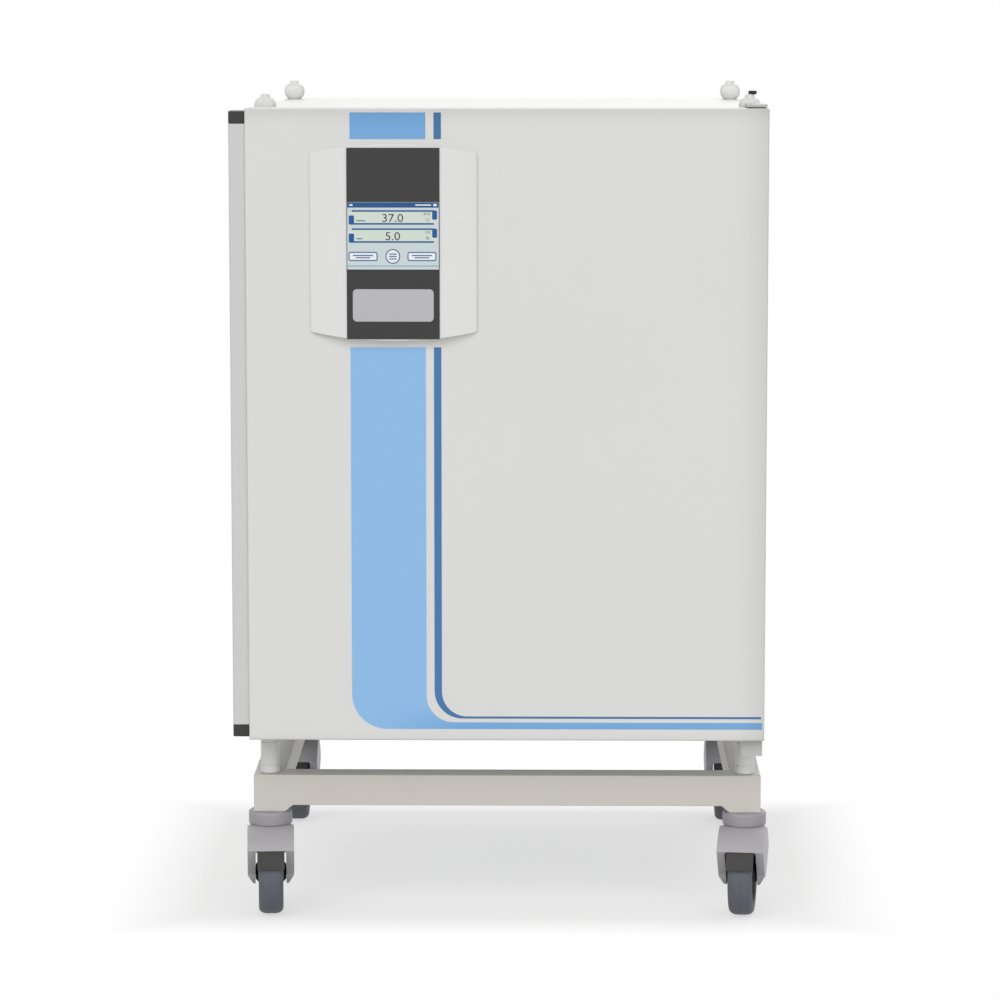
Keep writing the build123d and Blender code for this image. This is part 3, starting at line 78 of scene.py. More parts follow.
Colour = tuple[float, float, float]
Point = tuple[float, float, float]
Flat = tuple[float, float]
Box = tuple[float, float, float, float, float]
Words = tuple[str, float, float, float, float]

BLACK: Colour = (0.0, 0.0, 0.0)
WHITE: Colour = (1.0, 1.0, 1.0)
FINE = 0.00001
SHARP = 32.0
MERGE = 0.000002
FLAT_ENOUGH = 0.5
SIXTH_TURN = 1.0472


def srgb(red: float, green: float, blue: float) -> Colour:
    """Turns an 8-bit screen colour into the linear colour that shaders take.

    Args:
        red: Red, from 0 to 255.
        green: Green, from 0 to 255.
        blue: Blue, from 0 to 255.

    Returns:
        The colour as three linear values.
    """
    values = [channel / 255 for channel in (red, green, blue)]
    linear = [v / 12.92 if v <= 0.04045 else ((v + 0.055) / 1.055) ** 2.4 for v in values]
    return (linear[0], linear[1], linear[2])


def tinted(colour: Colour, factor: float) -> Colour:
    """Scales a colour's brightness."""
    red, green, blue = (min(channel * factor, 1.0) for channel in colour)
    return (red, green, blue)


class Signal:
    """A value in a node tree. Its operators add Math nodes."""

    def __init__(self, maker: "Wiring", socket: bpy.types.NodeSocket) -> None:
        """Wraps an output socket of a maker's tree."""
        self.maker = maker
        self.socket = socket

    def _math(self, operation: str, first: Any, second: Any) -> "Signal":
        """Adds a Math node."""
        return self.maker.value("ShaderNodeMath", {"operation": operation}, {0: first, 1: second})

    def __add__(self, other: Any) -> "Signal":
        """Sum."""
        return self._math("ADD", self, other)

    def __radd__(self, other: Any) -> "Signal":
        """Sum, from the right."""
        return self._math("ADD", other, self)

    def __sub__(self, other: Any) -> "Signal":
        """Difference."""
        return self._math("SUBTRACT", self, other)

    def __rsub__(self, other: Any) -> "Signal":
        """Difference, from the right."""
        return self._math("SUBTRACT", other, self)

    def __mul__(self, other: Any) -> "Signal":
        """Product."""
        return self._math("MULTIPLY", self, other)

    def __rmul__(self, other: Any) -> "Signal":
        """Product, from the right."""
        return self._math("MULTIPLY", other, self)

    def __truediv__(self, other: Any) -> "Signal":
        """Quotient."""
        return self._math("DIVIDE", self, other)

    def __gt__(self, other: Any) -> "Signal":
        """One where this is the greater, and zero elsewhere."""
        return self._math("GREATER_THAN", self, other)

    def swing(self, amount: float) -> "Signal":
        """This number's distance from one half, times an amount."""
        return (self - 0.5) * amount

    def clamped(self) -> "Signal":
        """This number held between 0 and 1."""
        return self.maker.value("ShaderNodeClamp", {}, {"Value": self})


class Wiring:
    """Adds nodes and links to a tree."""

    def __init__(self, tree: bpy.types.NodeTree) -> None:
        """Takes over an empty tree."""
        self.tree = tree

    def add(self, kind: str, settings: dict[str, Any], values: dict[Any, Any]) -> bpy.types.Node:
        """Adds a node.

        Args:
            kind: The node's type.
            settings: Its settings, set first; "stops" gives a ramp's positions and colours.
            values: Numbers, colours or Signals for its inputs, by name or place.

        Returns:
            The node.
        """
        node = self.tree.nodes.new(kind)
        for key, setting in settings.items():
            if key == "stops":
                ramp = node.color_ramp.elements
                while len(ramp) < len(setting):
                    ramp.new(1.0)
                for element, (position, colour) in zip(ramp, setting):
                    element.position = position
                    element.color = (*colour, 1.0)
            else:
                setattr(node, key, setting)
        for key, value in values.items():
            socket = node.inputs[key]
            if isinstance(value, Signal):
                self.tree.links.new(value.socket, socket)
            elif socket.type == "RGBA" and len(value) == 3:
                socket.default_value = (*value, 1.0)
            else:
                socket.default_value = value
        return node

    def value(
        self,
        kind: str,
        settings: dict[str, Any] | None = None,
        values: dict[Any, Any] | None = None,
        output: Any = 0,
    ) -> Signal:
        """Adds a node and gives one of its outputs."""
        node = self.add(kind, settings or {}, values or {})
        return Signal(self, node.outputs[output])


class Shading(Wiring):
    """Builds the node tree of one material."""

    def __init__(self, name: str) -> None:
        """Starts an empty material of that name."""
        self.material = bpy.data.materials.new(name)
        self.material.use_nodes = True
        super().__init__(self.material.node_tree)
        self.tree.nodes.clear()
        self.place = self.value("ShaderNodeTexCoord", output="Object")

    def mix(self, factor: Any, first: Any, second: Any, mode: str = "MIX") -> Signal:
        """Mixes two colours."""
        settings = {"data_type": "RGBA", "blend_type": mode}
        return self.value("ShaderNodeMix", settings, {0: factor, 6: first, 7: second}, output=2)

    def stretched(self, scale: Point) -> Signal:
        """The place on the object, stretched along the axes."""
        return self.value("ShaderNodeMapping", {}, {"Vector": self.place, "Scale": scale})

    def along(self, axis: str) -> Signal:
        """One coordinate of the place on the object, in millimetres as the sizes are."""
        coordinate = self.value("ShaderNodeSeparateXYZ", {}, {0: self.place}, output=axis)
        return coordinate / MM + (ORIGIN_X if axis == "X" else 0.0)

    def noise(self, scale: float, detail: float = 2.0, at: Signal | None = None) -> Signal:
        """Noise between 0 and 1."""
        values = {"Vector": at or self.place, "Scale": scale, "Detail": detail}
        return self.value("ShaderNodeTexNoise", {}, values)

    def cells(self, scale: float, output: str = "Distance", feature: str = "F1") -> Signal:
        """A pattern of cells."""
        values = {"Vector": self.place, "Scale": scale}
        return self.value("ShaderNodeTexVoronoi", {"feature": feature}, values, output)

    def bump(self, height: Signal, depth: float) -> Signal:
        """Normals from a height."""
        return self.value("ShaderNodeBump", {}, {"Height": height, "Distance": depth, "Strength": 1.0})

    def finish(self, values: dict[str, Any]) -> bpy.types.Material:
        """Closes the tree with a Principled shader.

        Args:
            values: The shader's inputs.

        Returns:
            The material.
        """
        shader = self.value("ShaderNodeBsdfPrincipled", {}, values)
        self.add("ShaderNodeOutputMaterial", {}, {"Surface": shader})
        return self.material


@dataclass(frozen=True)
class Look(ABC):
    """A finish with its own material."""

    name: str
    colour: Colour

    @abstractmethod
    def inputs(self, shading: Shading) -> dict[str, Any]:
        """What the Principled shader gets in the material being built."""

    def material(self) -> bpy.types.Material:
        """Makes the finish's material."""
        shading = Shading(self.name)
        return shading.finish(self.inputs(shading))


@dataclass(frozen=True)
class Paint(Look):
    """Powder-coated steel with a fine orange peel."""

    roughness: float = 0.42
    peel: float = 0.00003
    cloud_scale: float = 3.0
    grain_scale: float = 900.0
    dullest: float = 0.975
    speck: float = 0.1
    chalk: float = 0.05
    specular: float = 0.45
    cloud_detail: float = 3.0
    cloud_sheen: float = 0.08
    grain_sheen: float = 0.06

    def base(self, shading: Shading) -> Any:
        """The colour that the paint's cloudiness and grain are laid over."""
        return self.colour

    def inputs(self, shading: Shading) -> dict[str, Any]:
        """Lays a cloudy shade and a fine grain over the base colour."""
        cloud = shading.noise(self.cloud_scale, self.cloud_detail)
        grain = shading.noise(self.grain_scale)
        dull = (self.dullest, self.dullest, self.dullest)
        varied = shading.mix(1.0, self.base(shading), shading.mix(cloud, dull, WHITE), "MULTIPLY")
        specked = shading.mix(grain * self.speck, varied, BLACK)
        return {
            "Base Color": shading.mix(self.chalk, specked, WHITE),
            "Roughness": self.roughness + cloud.swing(self.cloud_sheen) + grain.swing(self.grain_sheen),
            "Normal": shading.bump(grain, self.peel),
            "Specular IOR Level": self.specular,
        }


@dataclass(frozen=True)
class DoorPaint(Paint):
    """Paint of the door's face, with painted shade that greys it towards its top, right and bottom edges."""

    top: float = 1198.0
    right: float = 378.0
    bottom: float = 274.0
    top_reach: float = 34.0
    right_reach: float = 62.0
    bottom_reach: float = 16.0
    bottom_share: float = 0.6
    # How strongly the painted edge shade darkens the colour.
    depth: float = 0.16

    def base(self, shading: Shading) -> Any:
        """The door's colour, with painted shade near its edges."""
        return self.eased(shading, self.colour)

    def eased(self, shading: Shading, colour: Any) -> Signal:
        """A base colour darkened by painted shade near the edges.

        Args:
            shading: The material being built.
            colour: The base colour, as a colour or a Signal.

        Returns:
            The colour with its painted shade.
        """
        # Painted shade: the colour greys towards the top, right and bottom edges, where the light falls off.
        near_top = (1 - (self.top - shading.along("Z")) / self.top_reach).clamped()
        near_right = (1 - (self.right - shading.along("X")) / self.right_reach).clamped()
        near_bottom = (1 - (shading.along("Z") - self.bottom) / self.bottom_reach).clamped()
        shade = near_top * near_top + near_right * near_right + near_bottom * near_bottom * self.bottom_share
        return shading.mix((shade * self.depth).clamped(), colour, BLACK)


@dataclass(frozen=True)
class Vinyl(DoorPaint):
    """Coloured film on the door, with painted shade at its top, along its foot and near the door's edges."""

    # The film's colour where its painted shade is deepest.
    deeper: Colour = (0.2, 0.4, 0.7)
    gloss: float = 0.36
    deepening_from: float = 880.0
    deepening_over: float = 300.0
    foot: float = 330.0
    foot_over: float = 40.0
    foot_left: float = 190.0
    foot_run: float = 120.0
    film_grain: float = 400.0
    grain_shade: float = 0.05

    def inputs(self, shading: Shading) -> dict[str, Any]:
        """What the shader of the film gets."""
        # Painted shade: the film darkens towards its top and along its foot, then takes the door's painted
        # edge shade.
        high = ((shading.along("Z") - self.deepening_from) / self.deepening_over).clamped()
        low = ((self.foot - shading.along("Z")) / self.foot_over).clamped()
        low = low * ((shading.along("X") + self.foot_left) / self.foot_run).clamped()
        colour = shading.mix((high * high + low).clamped(), self.colour, self.deeper)
        grain = shading.noise(self.film_grain)
        return {
            "Base Color": self.eased(shading, shading.mix(grain * self.grain_shade, colour, BLACK)),
            "Roughness": self.gloss + grain.swing(self.grain_sheen),
            "Normal": shading.bump(grain, FINE),
        }


@dataclass(frozen=True)
class Moulding(Look):
    """Moulded plastic with a fine spark-eroded texture."""

    roughness: float = 0.4
    texture: float = 0.00002
    scale: float = 1500.0
    cloud_scale: float = 9.0
    pit_shade: float = 0.85
    pitting: float = 0.2
    dark: float = 0.97
    bright: float = 1.03
    sheen: float = 0.1

    def inputs(self, shading: Shading) -> dict[str, Any]:
        """What the shader of the plastic gets."""
        cloud = shading.noise(self.cloud_scale)
        cells = shading.cells(self.scale)
        colour = shading.mix(cloud, tinted(self.colour, self.dark), tinted(self.colour, self.bright))
        pits = (cells * self.pitting).clamped()
        return {
            "Base Color": shading.mix(pits, colour, tinted(self.colour, self.pit_shade)),
            "Roughness": self.roughness + cloud.swing(self.sheen),
            "Normal": shading.bump(cells, self.texture),
        }


@dataclass(frozen=True)
class Metal(Look):
    """Bare metal, brushed along one axis or cast."""

    roughness: float = 0.3
    brushed: Point = (1.0, 1.0, 1.0)
    grain: float = 600.0
    dark: float = 0.88
    bright: float = 1.08
    detail: float = 3.0
    cloud_scale: float = 6.0
    line_sheen: float = 0.12
    cloud_sheen: float = 0.1

    def inputs(self, shading: Shading) -> dict[str, Any]:
        """What the shader of the metal gets."""
        lines = shading.noise(self.grain, self.detail, shading.stretched(self.brushed))
        cloud = shading.noise(self.cloud_scale, self.detail)
        dark, bright = (tinted(self.colour, factor) for factor in (self.dark, self.bright))
        return {
            "Base Color": shading.mix(lines, dark, bright),
            "Metallic": 1.0,
            "Roughness": self.roughness + lines.swing(self.line_sheen) + cloud.swing(self.cloud_sheen),
            "Normal": shading.bump(lines, FINE),
        }


@dataclass(frozen=True)
class Spangle(Look):
    """Galvanised sheet with its crystal pattern."""

    crystal_scale: float = 70.0
    metallic: float = 0.85
    roughness: float = 0.38
    dark: float = 0.85
    bright: float = 1.1
    sheen: float = 0.18
    grain: float = 300.0
    detail: float = 3.0

    def inputs(self, shading: Shading) -> dict[str, Any]:
        """What the shader of the sheet gets."""
        crystals = shading.cells(self.crystal_scale, "Color")
        tone = shading.value("ShaderNodeRGBToBW", {}, {0: crystals})
        return {
            "Base Color": shading.mix(tone, tinted(self.colour, self.dark), tinted(self.colour, self.bright)),
            "Metallic": self.metallic,
            "Roughness": self.roughness + tone * self.sheen,
            "Normal": shading.bump(shading.noise(self.grain, self.detail), FINE),
        }


@dataclass(frozen=True)
class Rubber(Look):
    """Matt rubber with a little dust."""

    roughness: float = 0.7
    dust_scale: float = 60.0
    dust_from: float = 0.35
    grain_scale: float = 1800.0
    grain_depth: float = 0.00004
    dust_detail: float = 5.0
    dust_share: float = 0.5
    dust_shade: float = 1.5
    sheen: float = 0.15

    def inputs(self, shading: Shading) -> dict[str, Any]:
        """What the shader of the rubber gets."""
        dust = shading.noise(self.dust_scale, self.dust_detail)
        dusty = (dust - self.dust_from).clamped() * self.dust_share
        return {
            "Base Color": shading.mix(dusty, self.colour, tinted(self.colour, self.dust_shade)),
            "Roughness": self.roughness + dust.swing(self.sheen),
            "Normal": shading.bump(shading.noise(self.grain_scale), self.grain_depth),
        }


@dataclass(frozen=True)
class Glass(Look):
    """Clear glass with faint smears."""

    smear_scale: float = 12.0
    smear_from: float = 0.45
    refraction: float = 1.5
    smear_detail: float = 4.0
    smear_shade: float = 0.985
    smear_sheen: float = 0.05

    def inputs(self, shading: Shading) -> dict[str, Any]:
        """What the shader of the glass gets."""
        smears = shading.noise(self.smear_scale, self.smear_detail)
        return {
            "Base Color": shading.mix(smears, tinted(self.colour, self.smear_shade), self.colour),
            "Roughness": (smears - self.smear_from).clamped() * self.smear_sheen,
            "IOR": self.refraction,
            "Transmission Weight": 1.0,
        }


@dataclass(frozen=True)
class Foam(Look):
    """Rigid foam with small cells."""

    cell_scale: float = 500.0
    cell_depth: float = 0.0003
    roughness: float = 0.85
    bright: float = 1.03
    dark: float = 0.8

    def inputs(self, shading: Shading) -> dict[str, Any]:
        """What the shader of the foam gets."""
        cells = shading.cells(self.cell_scale)
        colour = shading.mix(cells, tinted(self.colour, self.bright), tinted(self.colour, self.dark))
        bumps = shading.bump(cells, self.cell_depth)
        return {"Base Color": colour, "Roughness": self.roughness, "Normal": bumps}


@dataclass(frozen=True)
class Lit(Look):
    """A lit area of the display, with its fine pixel grid."""

    glow: float = 0.5
    row_scale: float = 700.0
    row_shade: float = 0.06
    unlit: float = 0.48
    unlit_row: float = 0.38
    lit_row: float = 0.8
    roughness: float = 0.3
    sheen: float = 0.04

    def inputs(self, shading: Shading) -> dict[str, Any]:
        """What the shader of the lit area gets."""
        bands = {"wave_type": "BANDS", "bands_direction": "Z"}
        values = {"Vector": shading.place, "Scale": self.row_scale}
        rows = shading.value("ShaderNodeTexWave", bands, values, output="Fac")
        shade = rows * self.row_shade
        unlit, unlit_row = tinted(self.colour, self.unlit), tinted(self.colour, self.unlit_row)
        return {
            "Base Color": shading.mix(shade, unlit, unlit_row),
            "Roughness": self.roughness + rows.swing(self.sheen),
            "Emission Color": shading.mix(shade, self.colour, tinted(self.colour, self.lit_row)),
            "Emission Strength": self.glow,
        }


@dataclass(frozen=True)
class Board(Look):
    """Circuit board with copper tracks under green lacquer."""

    track_scale: float = 90.0
    track_width: float = 0.06
    track_shade: float = 2.2
    roughness: float = 0.35
    track_sheen: float = 0.1

    def inputs(self, shading: Shading) -> dict[str, Any]:
        """What the shader of the board gets."""
        tracks = 1 - (shading.cells(self.track_scale, "Distance", "DISTANCE_TO_EDGE") > self.track_width)
        colour = shading.mix(tracks, self.colour, tinted(self.colour, self.track_shade))
        return {"Base Color": colour, "Roughness": self.roughness + tracks * self.track_sheen}


class Finishes:
    """The materials of the object, each made once."""

    def __init__(self) -> None:
        """Lists every finish, by the record's material slot or by its own name."""
        white = srgb(222, 222, 220)
        self.listed = {
            "grey_painted_steel": Paint("cabinet_paint", white),
            "door_paint": DoorPaint("door_paint", white),
            # The second colour of each film is its painted shade.
            "light_film": Vinyl("light_blue_film", srgb(140, 187, 232), deeper=srgb(110, 165, 216)),
            "dark_film": Vinyl("dark_blue_film", srgb(62, 116, 168), deeper=srgb(58, 110, 160)),
            "base_paint": Paint("base_paint", srgb(204, 199, 192), 0.5),
            "zinc_pan": Spangle("zinc_sheet", srgb(190, 194, 198)),
            "caster_cap_plastic": Moulding("caster_cap_nylon", srgb(155, 153, 158), 0.5),
            "caster_grey": Moulding("caster_fork_nylon", srgb(172, 170, 174), 0.45),
            # Black nylon of the hubs, ribs and cones, also used as the painted shadow on each fork.
            "guard_black": Moulding("caster_guard_nylon", srgb(38, 37, 36), 0.6),
            "axle_steel": Metal("axle_zinc_plate", srgb(150, 152, 155), 0.35),
            "tyre": Rubber("tyre_rubber", srgb(84, 88, 96), 0.6),
            "white_plastic": Moulding("white_moulding", srgb(222, 222, 221), 0.42),
            "grip_plastic": Moulding("grip_moulding", srgb(205, 205, 203), 0.4),
            "bezel_plastic": Moulding("bezel_moulding", srgb(225, 225, 223), 0.32),
            "dark_plastic": Moulding("dark_moulding", srgb(34, 33, 34), 0.5),
            "foam": Foam("insulating_foam", srgb(232, 226, 206)),
            "chamber_steel": Metal("chamber_stainless", srgb(205, 207, 209), 0.24, (1.0, 1.0, 40.0)),
            "gasket_rubber": Rubber("gasket_grey", srgb(150, 152, 154), 0.6),
            "port_rubber": Rubber("stopper_silicone", srgb(214, 212, 204), 0.55),
            "hinge_metal": Paint("hinge_paint", srgb(186, 188, 184), 0.38),
            "bright_metal": Metal("nickel_plate", srgb(196, 198, 200), 0.22),
            "screen": Moulding("overlay_film", srgb(87, 89, 95), 0.3, 0.00001),
            "plate_silver": Metal("plate_aluminium", srgb(170, 170, 174), 0.5, (60.0, 1.0, 1.0)),
            "glass": Glass("tempered_glass", (0.93, 0.98, 0.96)),
            "pull_plastic": Moulding("pull_moulding", srgb(70, 72, 76), 0.4),
            "fan_plastic": Moulding("fan_moulding", srgb(235, 235, 232), 0.4),
            "motor_metal": Metal("motor_cast", srgb(140, 143, 147), 0.5, grain=300.0),
            "sensor_plastic": Moulding("sensor_moulding", srgb(228, 228, 222), 0.4),
            "board": Board("circuit_board", srgb(24, 92, 58)),
            "panel_metal": Metal("panel_aluminium", srgb(178, 180, 182), 0.4, (60.0, 1.0, 1.0)),
            "brass": Metal("brass_turned", srgb(205, 170, 104), 0.28),
            "display_ground": Lit("display_ground", srgb(200, 212, 214)),
            "display_header": Lit("display_header", srgb(8, 74, 132)),
            "display_field": Lit("display_field", srgb(208, 219, 208)),
            "display_line": Lit("display_line", srgb(40, 92, 142)),
            "display_tab": Lit("display_tab", srgb(0, 80, 148)),
            "display_key": Lit("display_key", srgb(232, 236, 238)),
            "display_digit": Lit("display_digit", srgb(48, 56, 62)),
        }
        self.made: dict[str, bpy.types.Material] = {}

    def __getitem__(self, name: str) -> bpy.types.Material:
        """The material of a finish, by its name."""
        if name not in self.made:
            self.made[name] = self.listed[name].material()
        return self.made[name]


def slot_of(node: str) -> str:
    """The record's material slot of a CAD node."""
    return next(part["material_slot"] for part in frame["record"]["subparts"] if part["node"] == node)


def body_of(node: str) -> str:
    """The body that a CAD node rides on."""
    return str(frame["nodes"][node]["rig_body"])


def new_object(name: str, mesh: bpy.types.Mesh) -> bpy.types.Object:
    """Links a mesh to the scene.

    Args:
        name: The object's name.
        mesh: Its mesh.

    Returns:
        The object.
    """
    mesh.name = name
    obj = bpy.data.objects.new(name, mesh)
    bpy.context.scene.collection.objects.link(obj)
    return obj


def settled(obj: bpy.types.Object) -> bpy.types.Object:
    """Turns an object with live modifiers into a plain mesh.

    Args:
        obj: The object.

    Returns:
        The same object, with the modified mesh and no modifiers.
    """
    graph = bpy.context.evaluated_depsgraph_get()
    mesh = bpy.data.meshes.new_from_object(obj.evaluated_get(graph), depsgraph=graph)
    obj.modifiers.clear()
    old, obj.data = obj.data, mesh
    if old.users == 0:
        bpy.data.meshes.remove(old)
    mesh.name = obj.name
    return obj


def softened(
    obj: bpy.types.Object, width: float, sharp: float = SHARP, segments: int = 2
) -> bpy.types.Object:
    """Rounds an object's sharp edges.

    Args:
        obj: The object.
        width: Width of the rounding, in the mesh's own unit.
        sharp: Edges that turn by more than this, in degrees, are rounded.
        segments: Faces across the rounding.

    Returns:
        The object, with its edges rounded in its mesh.
    """
    obj.data.shade_smooth()
    bevel = obj.modifiers.new("Edges", "BEVEL")
    bevel.width = width
    bevel.segments = segments
    bevel.limit_method = "ANGLE"
    bevel.angle_limit = radians(sharp)
    bevel.use_clamp_overlap = True
    weighted = obj.modifiers.new("Shading", "WEIGHTED_NORMAL")
    weighted.keep_sharp = True
    return settled(obj)


def islands(shape: bmesh.types.BMesh) -> list[set[bmesh.types.BMVert]]:
    """Splits a mesh into its connected pieces.

    Args:
        shape: The mesh.

    Returns:
        The vertices of each piece.
    """
    left, found = set(shape.verts), []
    while left:
        edge = [left.pop()]
        piece = set(edge)
        while edge:
            for link in edge.pop().link_edges:
                for vert in link.verts:
                    if vert in left:
                        left.remove(vert)
                        piece.add(vert)
                        edge.append(vert)
        found.append(piece)
    return found


class Way(Enum):
    """The axis that a drawn outline is pushed or turned along."""

    ACROSS = "X"
    DEPTH = "Y"
    UP = "Z"

    def place(self, first: float, second: float, along: float) -> Point:
        """Puts a point of a flat outline in space.

        Args:
            first: The outline's first coordinate.
            second: Its second coordinate.
            along: The distance along the axis.

        Returns:
            The point.
        """
        if self is Way.ACROSS:
            return (along, first, second)
        if self is Way.DEPTH:
            return (first, along, second)
        return (first, second, along)


def arc(centre: Flat, radii: Flat, start: float, end: float, steps: int = 8) -> list[Flat]:
    """Points along an arc of a circle or an oval."""
    angles = [radians(start + (end - start) * i / steps) for i in range(steps + 1)]
    return [(centre[0] + radii[0] * cos(a), centre[1] + radii[1] * sin(a)) for a in angles]


def rounded(centre: Flat, width: float, height: float, radius: float, steps: int = 6) -> list[Flat]:
    """Outline of a rectangle with rounded corners.

    Args:
        centre: Its middle.
        width: Its width.
        height: Its height.
        radius: Radius of its corners.
        steps: Number of chords in each corner.

    Returns:
        The points, anticlockwise.
    """
    across, up = width / 2 - radius, height / 2 - radius
    corners = ((across, up, 0), (-across, up, 90), (-across, -up, 180), (across, -up, 270))
    points: list[Flat] = []
    for x, z, start in corners:
        points += arc((centre[0] + x, centre[1] + z), (radius, radius), start, start + 90, steps)
    return points


def mirrored(profile: Sequence[Flat]) -> list[Flat]:
    """The points of a profile on the other side of its middle, backwards."""
    return [(radius, -along) for radius, along in reversed(profile)]


class Sketch:
    """A mesh drawn in the part's own millimetres."""

    def __init__(self) -> None:
        """Starts an empty drawing."""
        self.shape = bmesh.new()

    def loft(self, rings: Sequence[Sequence[Point]], capped: bool = True, looped: bool = False) -> "Sketch":
        """Skins a row of closed rings that have the same number of points.

        Args:
            rings: The rings.
            capped: Whether the first and the last ring are closed by a face.
            looped: Whether the last ring is joined to the first.

        Returns:
            The drawing.
        """
        rows = [[self.shape.verts.new(place) for place in ring] for ring in rings]
        count = len(rows[0])
        pairs = list(zip(rows, rows[1:])) + ([(rows[-1], rows[0])] if looped else [])
        for first, second in pairs:
            for i in range(count):
                j = (i + 1) % count
                self.shape.faces.new((first[i], first[j], second[j], second[i]))
        if capped and not looped:
            self.shape.faces.new(list(reversed(rows[0])))
            self.shape.faces.new(rows[-1])
        return self

    def prism(self, outline: Sequence[Flat], way: Way, low: float, high: float) -> "Sketch":
        """Pushes an outline along an axis."""
        return self.loft([[way.place(a, b, along) for a, b in outline] for along in (low, high)])

    def lathe(
        self, profile: Sequence[Flat], way: Way, centre: Point, steps: int = 48, looped: bool = False
    ) -> "Sketch":
        """Turns a profile about an axis.

        Args:
            profile: Radius and distance along the axis of each point.
            way: The axis.
            centre: The middle, which the distances start from.
            steps: Faces around the axis.
            looped: Whether the profile's last point is joined to its first.

        Returns:
            The drawing.
        """
        middle = Vector(centre)
        rings = []
        for radius, along in profile:
            angles = [2 * pi * i / steps for i in range(steps)]
            spots = [way.place(radius * cos(a), radius * sin(a), along) for a in angles]
            rings.append([tuple(middle + Vector(spot)) for spot in spots])
        return self.loft(rings, capped=not looped, looped=looped)

    def ribbon(self, first: Sequence[Flat], second: Sequence[Flat], low: float, high: float) -> "Sketch":
        """A band on an upright face, between two edges with the same number of points.

        Args:
            first: One edge.
            second: The other edge.
            low: Depth of its front.
            high: Depth of its back.

        Returns:
            The drawing.
        """
        rings = []
        for (x0, z0), (x1, z1) in zip(first, second):
            rings.append([(x0, low, z0), (x1, low, z1), (x1, high, z1), (x0, high, z0)])
        return self.loft(rings)

    def moved(self, matrix: Matrix) -> "Sketch":
        """Moves everything drawn so far."""
        self.shape.transform(matrix)
        return self

    def mesh(self, name: str) -> bpy.types.Mesh:
        """Closes the drawing and gives its mesh.

        Args:
            name: The mesh's name.

        Returns:
            The mesh, with its faces pointing outwards.
        """
        bmesh.ops.remove_doubles(self.shape, verts=self.shape.verts, dist=0.001)
        bmesh.ops.recalc_face_normals(self.shape, faces=self.shape.faces)
        mesh = bpy.data.meshes.new(name)
        self.shape.to_mesh(mesh)
        self.shape.free()
        return mesh

    def piece(self, name: str, edge: float, sharp: float = SHARP) -> bpy.types.Object:
        """Closes the drawing and gives an object with rounded edges."""
        return softened(new_object(name, self.mesh(name)), edge, sharp)


class Pattern(Wiring):
    """A geometry node tree with named inputs, which repeats a shape or carries it along a path."""

    def __init__(self, name: str) -> None:
        """Starts an empty tree of that name."""
        super().__init__(bpy.data.node_groups.new(name, "GeometryNodeTree"))
        self.tree.interface.new_socket("Geometry", in_out="INPUT", socket_type="NodeSocketGeometry")
        self.tree.interface.new_socket("Geometry", in_out="OUTPUT", socket_type="NodeSocketGeometry")
        self.entry = self.tree.nodes.new("NodeGroupInput")
        self.base = Signal(self, self.entry.outputs[0])

    def size(self, name: str, kind: str = "NodeSocketFloat") -> Signal:
        """Adds a named input."""
        self.tree.interface.new_socket(name, in_out="INPUT", socket_type=kind)
        return Signal(self, self.entry.outputs[name])

    def shape(self, name: str) -> Signal:
        """Adds an object input and gives that object's geometry."""
        wanted = self.size(name, "NodeSocketObject")
        return self.value("GeometryNodeObjectInfo", {}, {"Object": wanted}, output="Geometry")

    def close(self, geometry: Signal) -> "Pattern":
        """Ends the tree in Realize Instances and Set Material.

        Args:
            geometry: What the tree has made.

        Returns:
            The pattern.
        """
        finish = self.size("Finish", "NodeSocketMaterial")
        real = self.value("GeometryNodeRealizeInstances", {}, {0: geometry})
        dressed = self.value("GeometryNodeSetMaterial", {}, {0: real, "Material": finish})
        self.add("NodeGroupOutput", {}, {0: dressed})
        return self

    def run(self, name: str, base: bpy.types.Mesh, values: dict[str, Any]) -> bpy.types.Object:
        """Runs the tree on a mesh and turns the result into a plain mesh.

        Args:
            name: The new object's name.
            base: The mesh that the tree starts from.
            values: The tree's inputs, by name.

        Returns:
            The object.
        """
        obj = new_object(name, base)
        modifier = obj.modifiers.new("Pattern", "NODES")
        modifier.node_group = self.tree
        for item in self.tree.interface.items_tree:
            if item.in_out == "INPUT" and item.name in values:
                modifier[item.identifier] = values[item.name]
        settled(obj)
        for used in values.values():
            if isinstance(used, bpy.types.Object):
                bpy.data.objects.remove(used)
        return obj


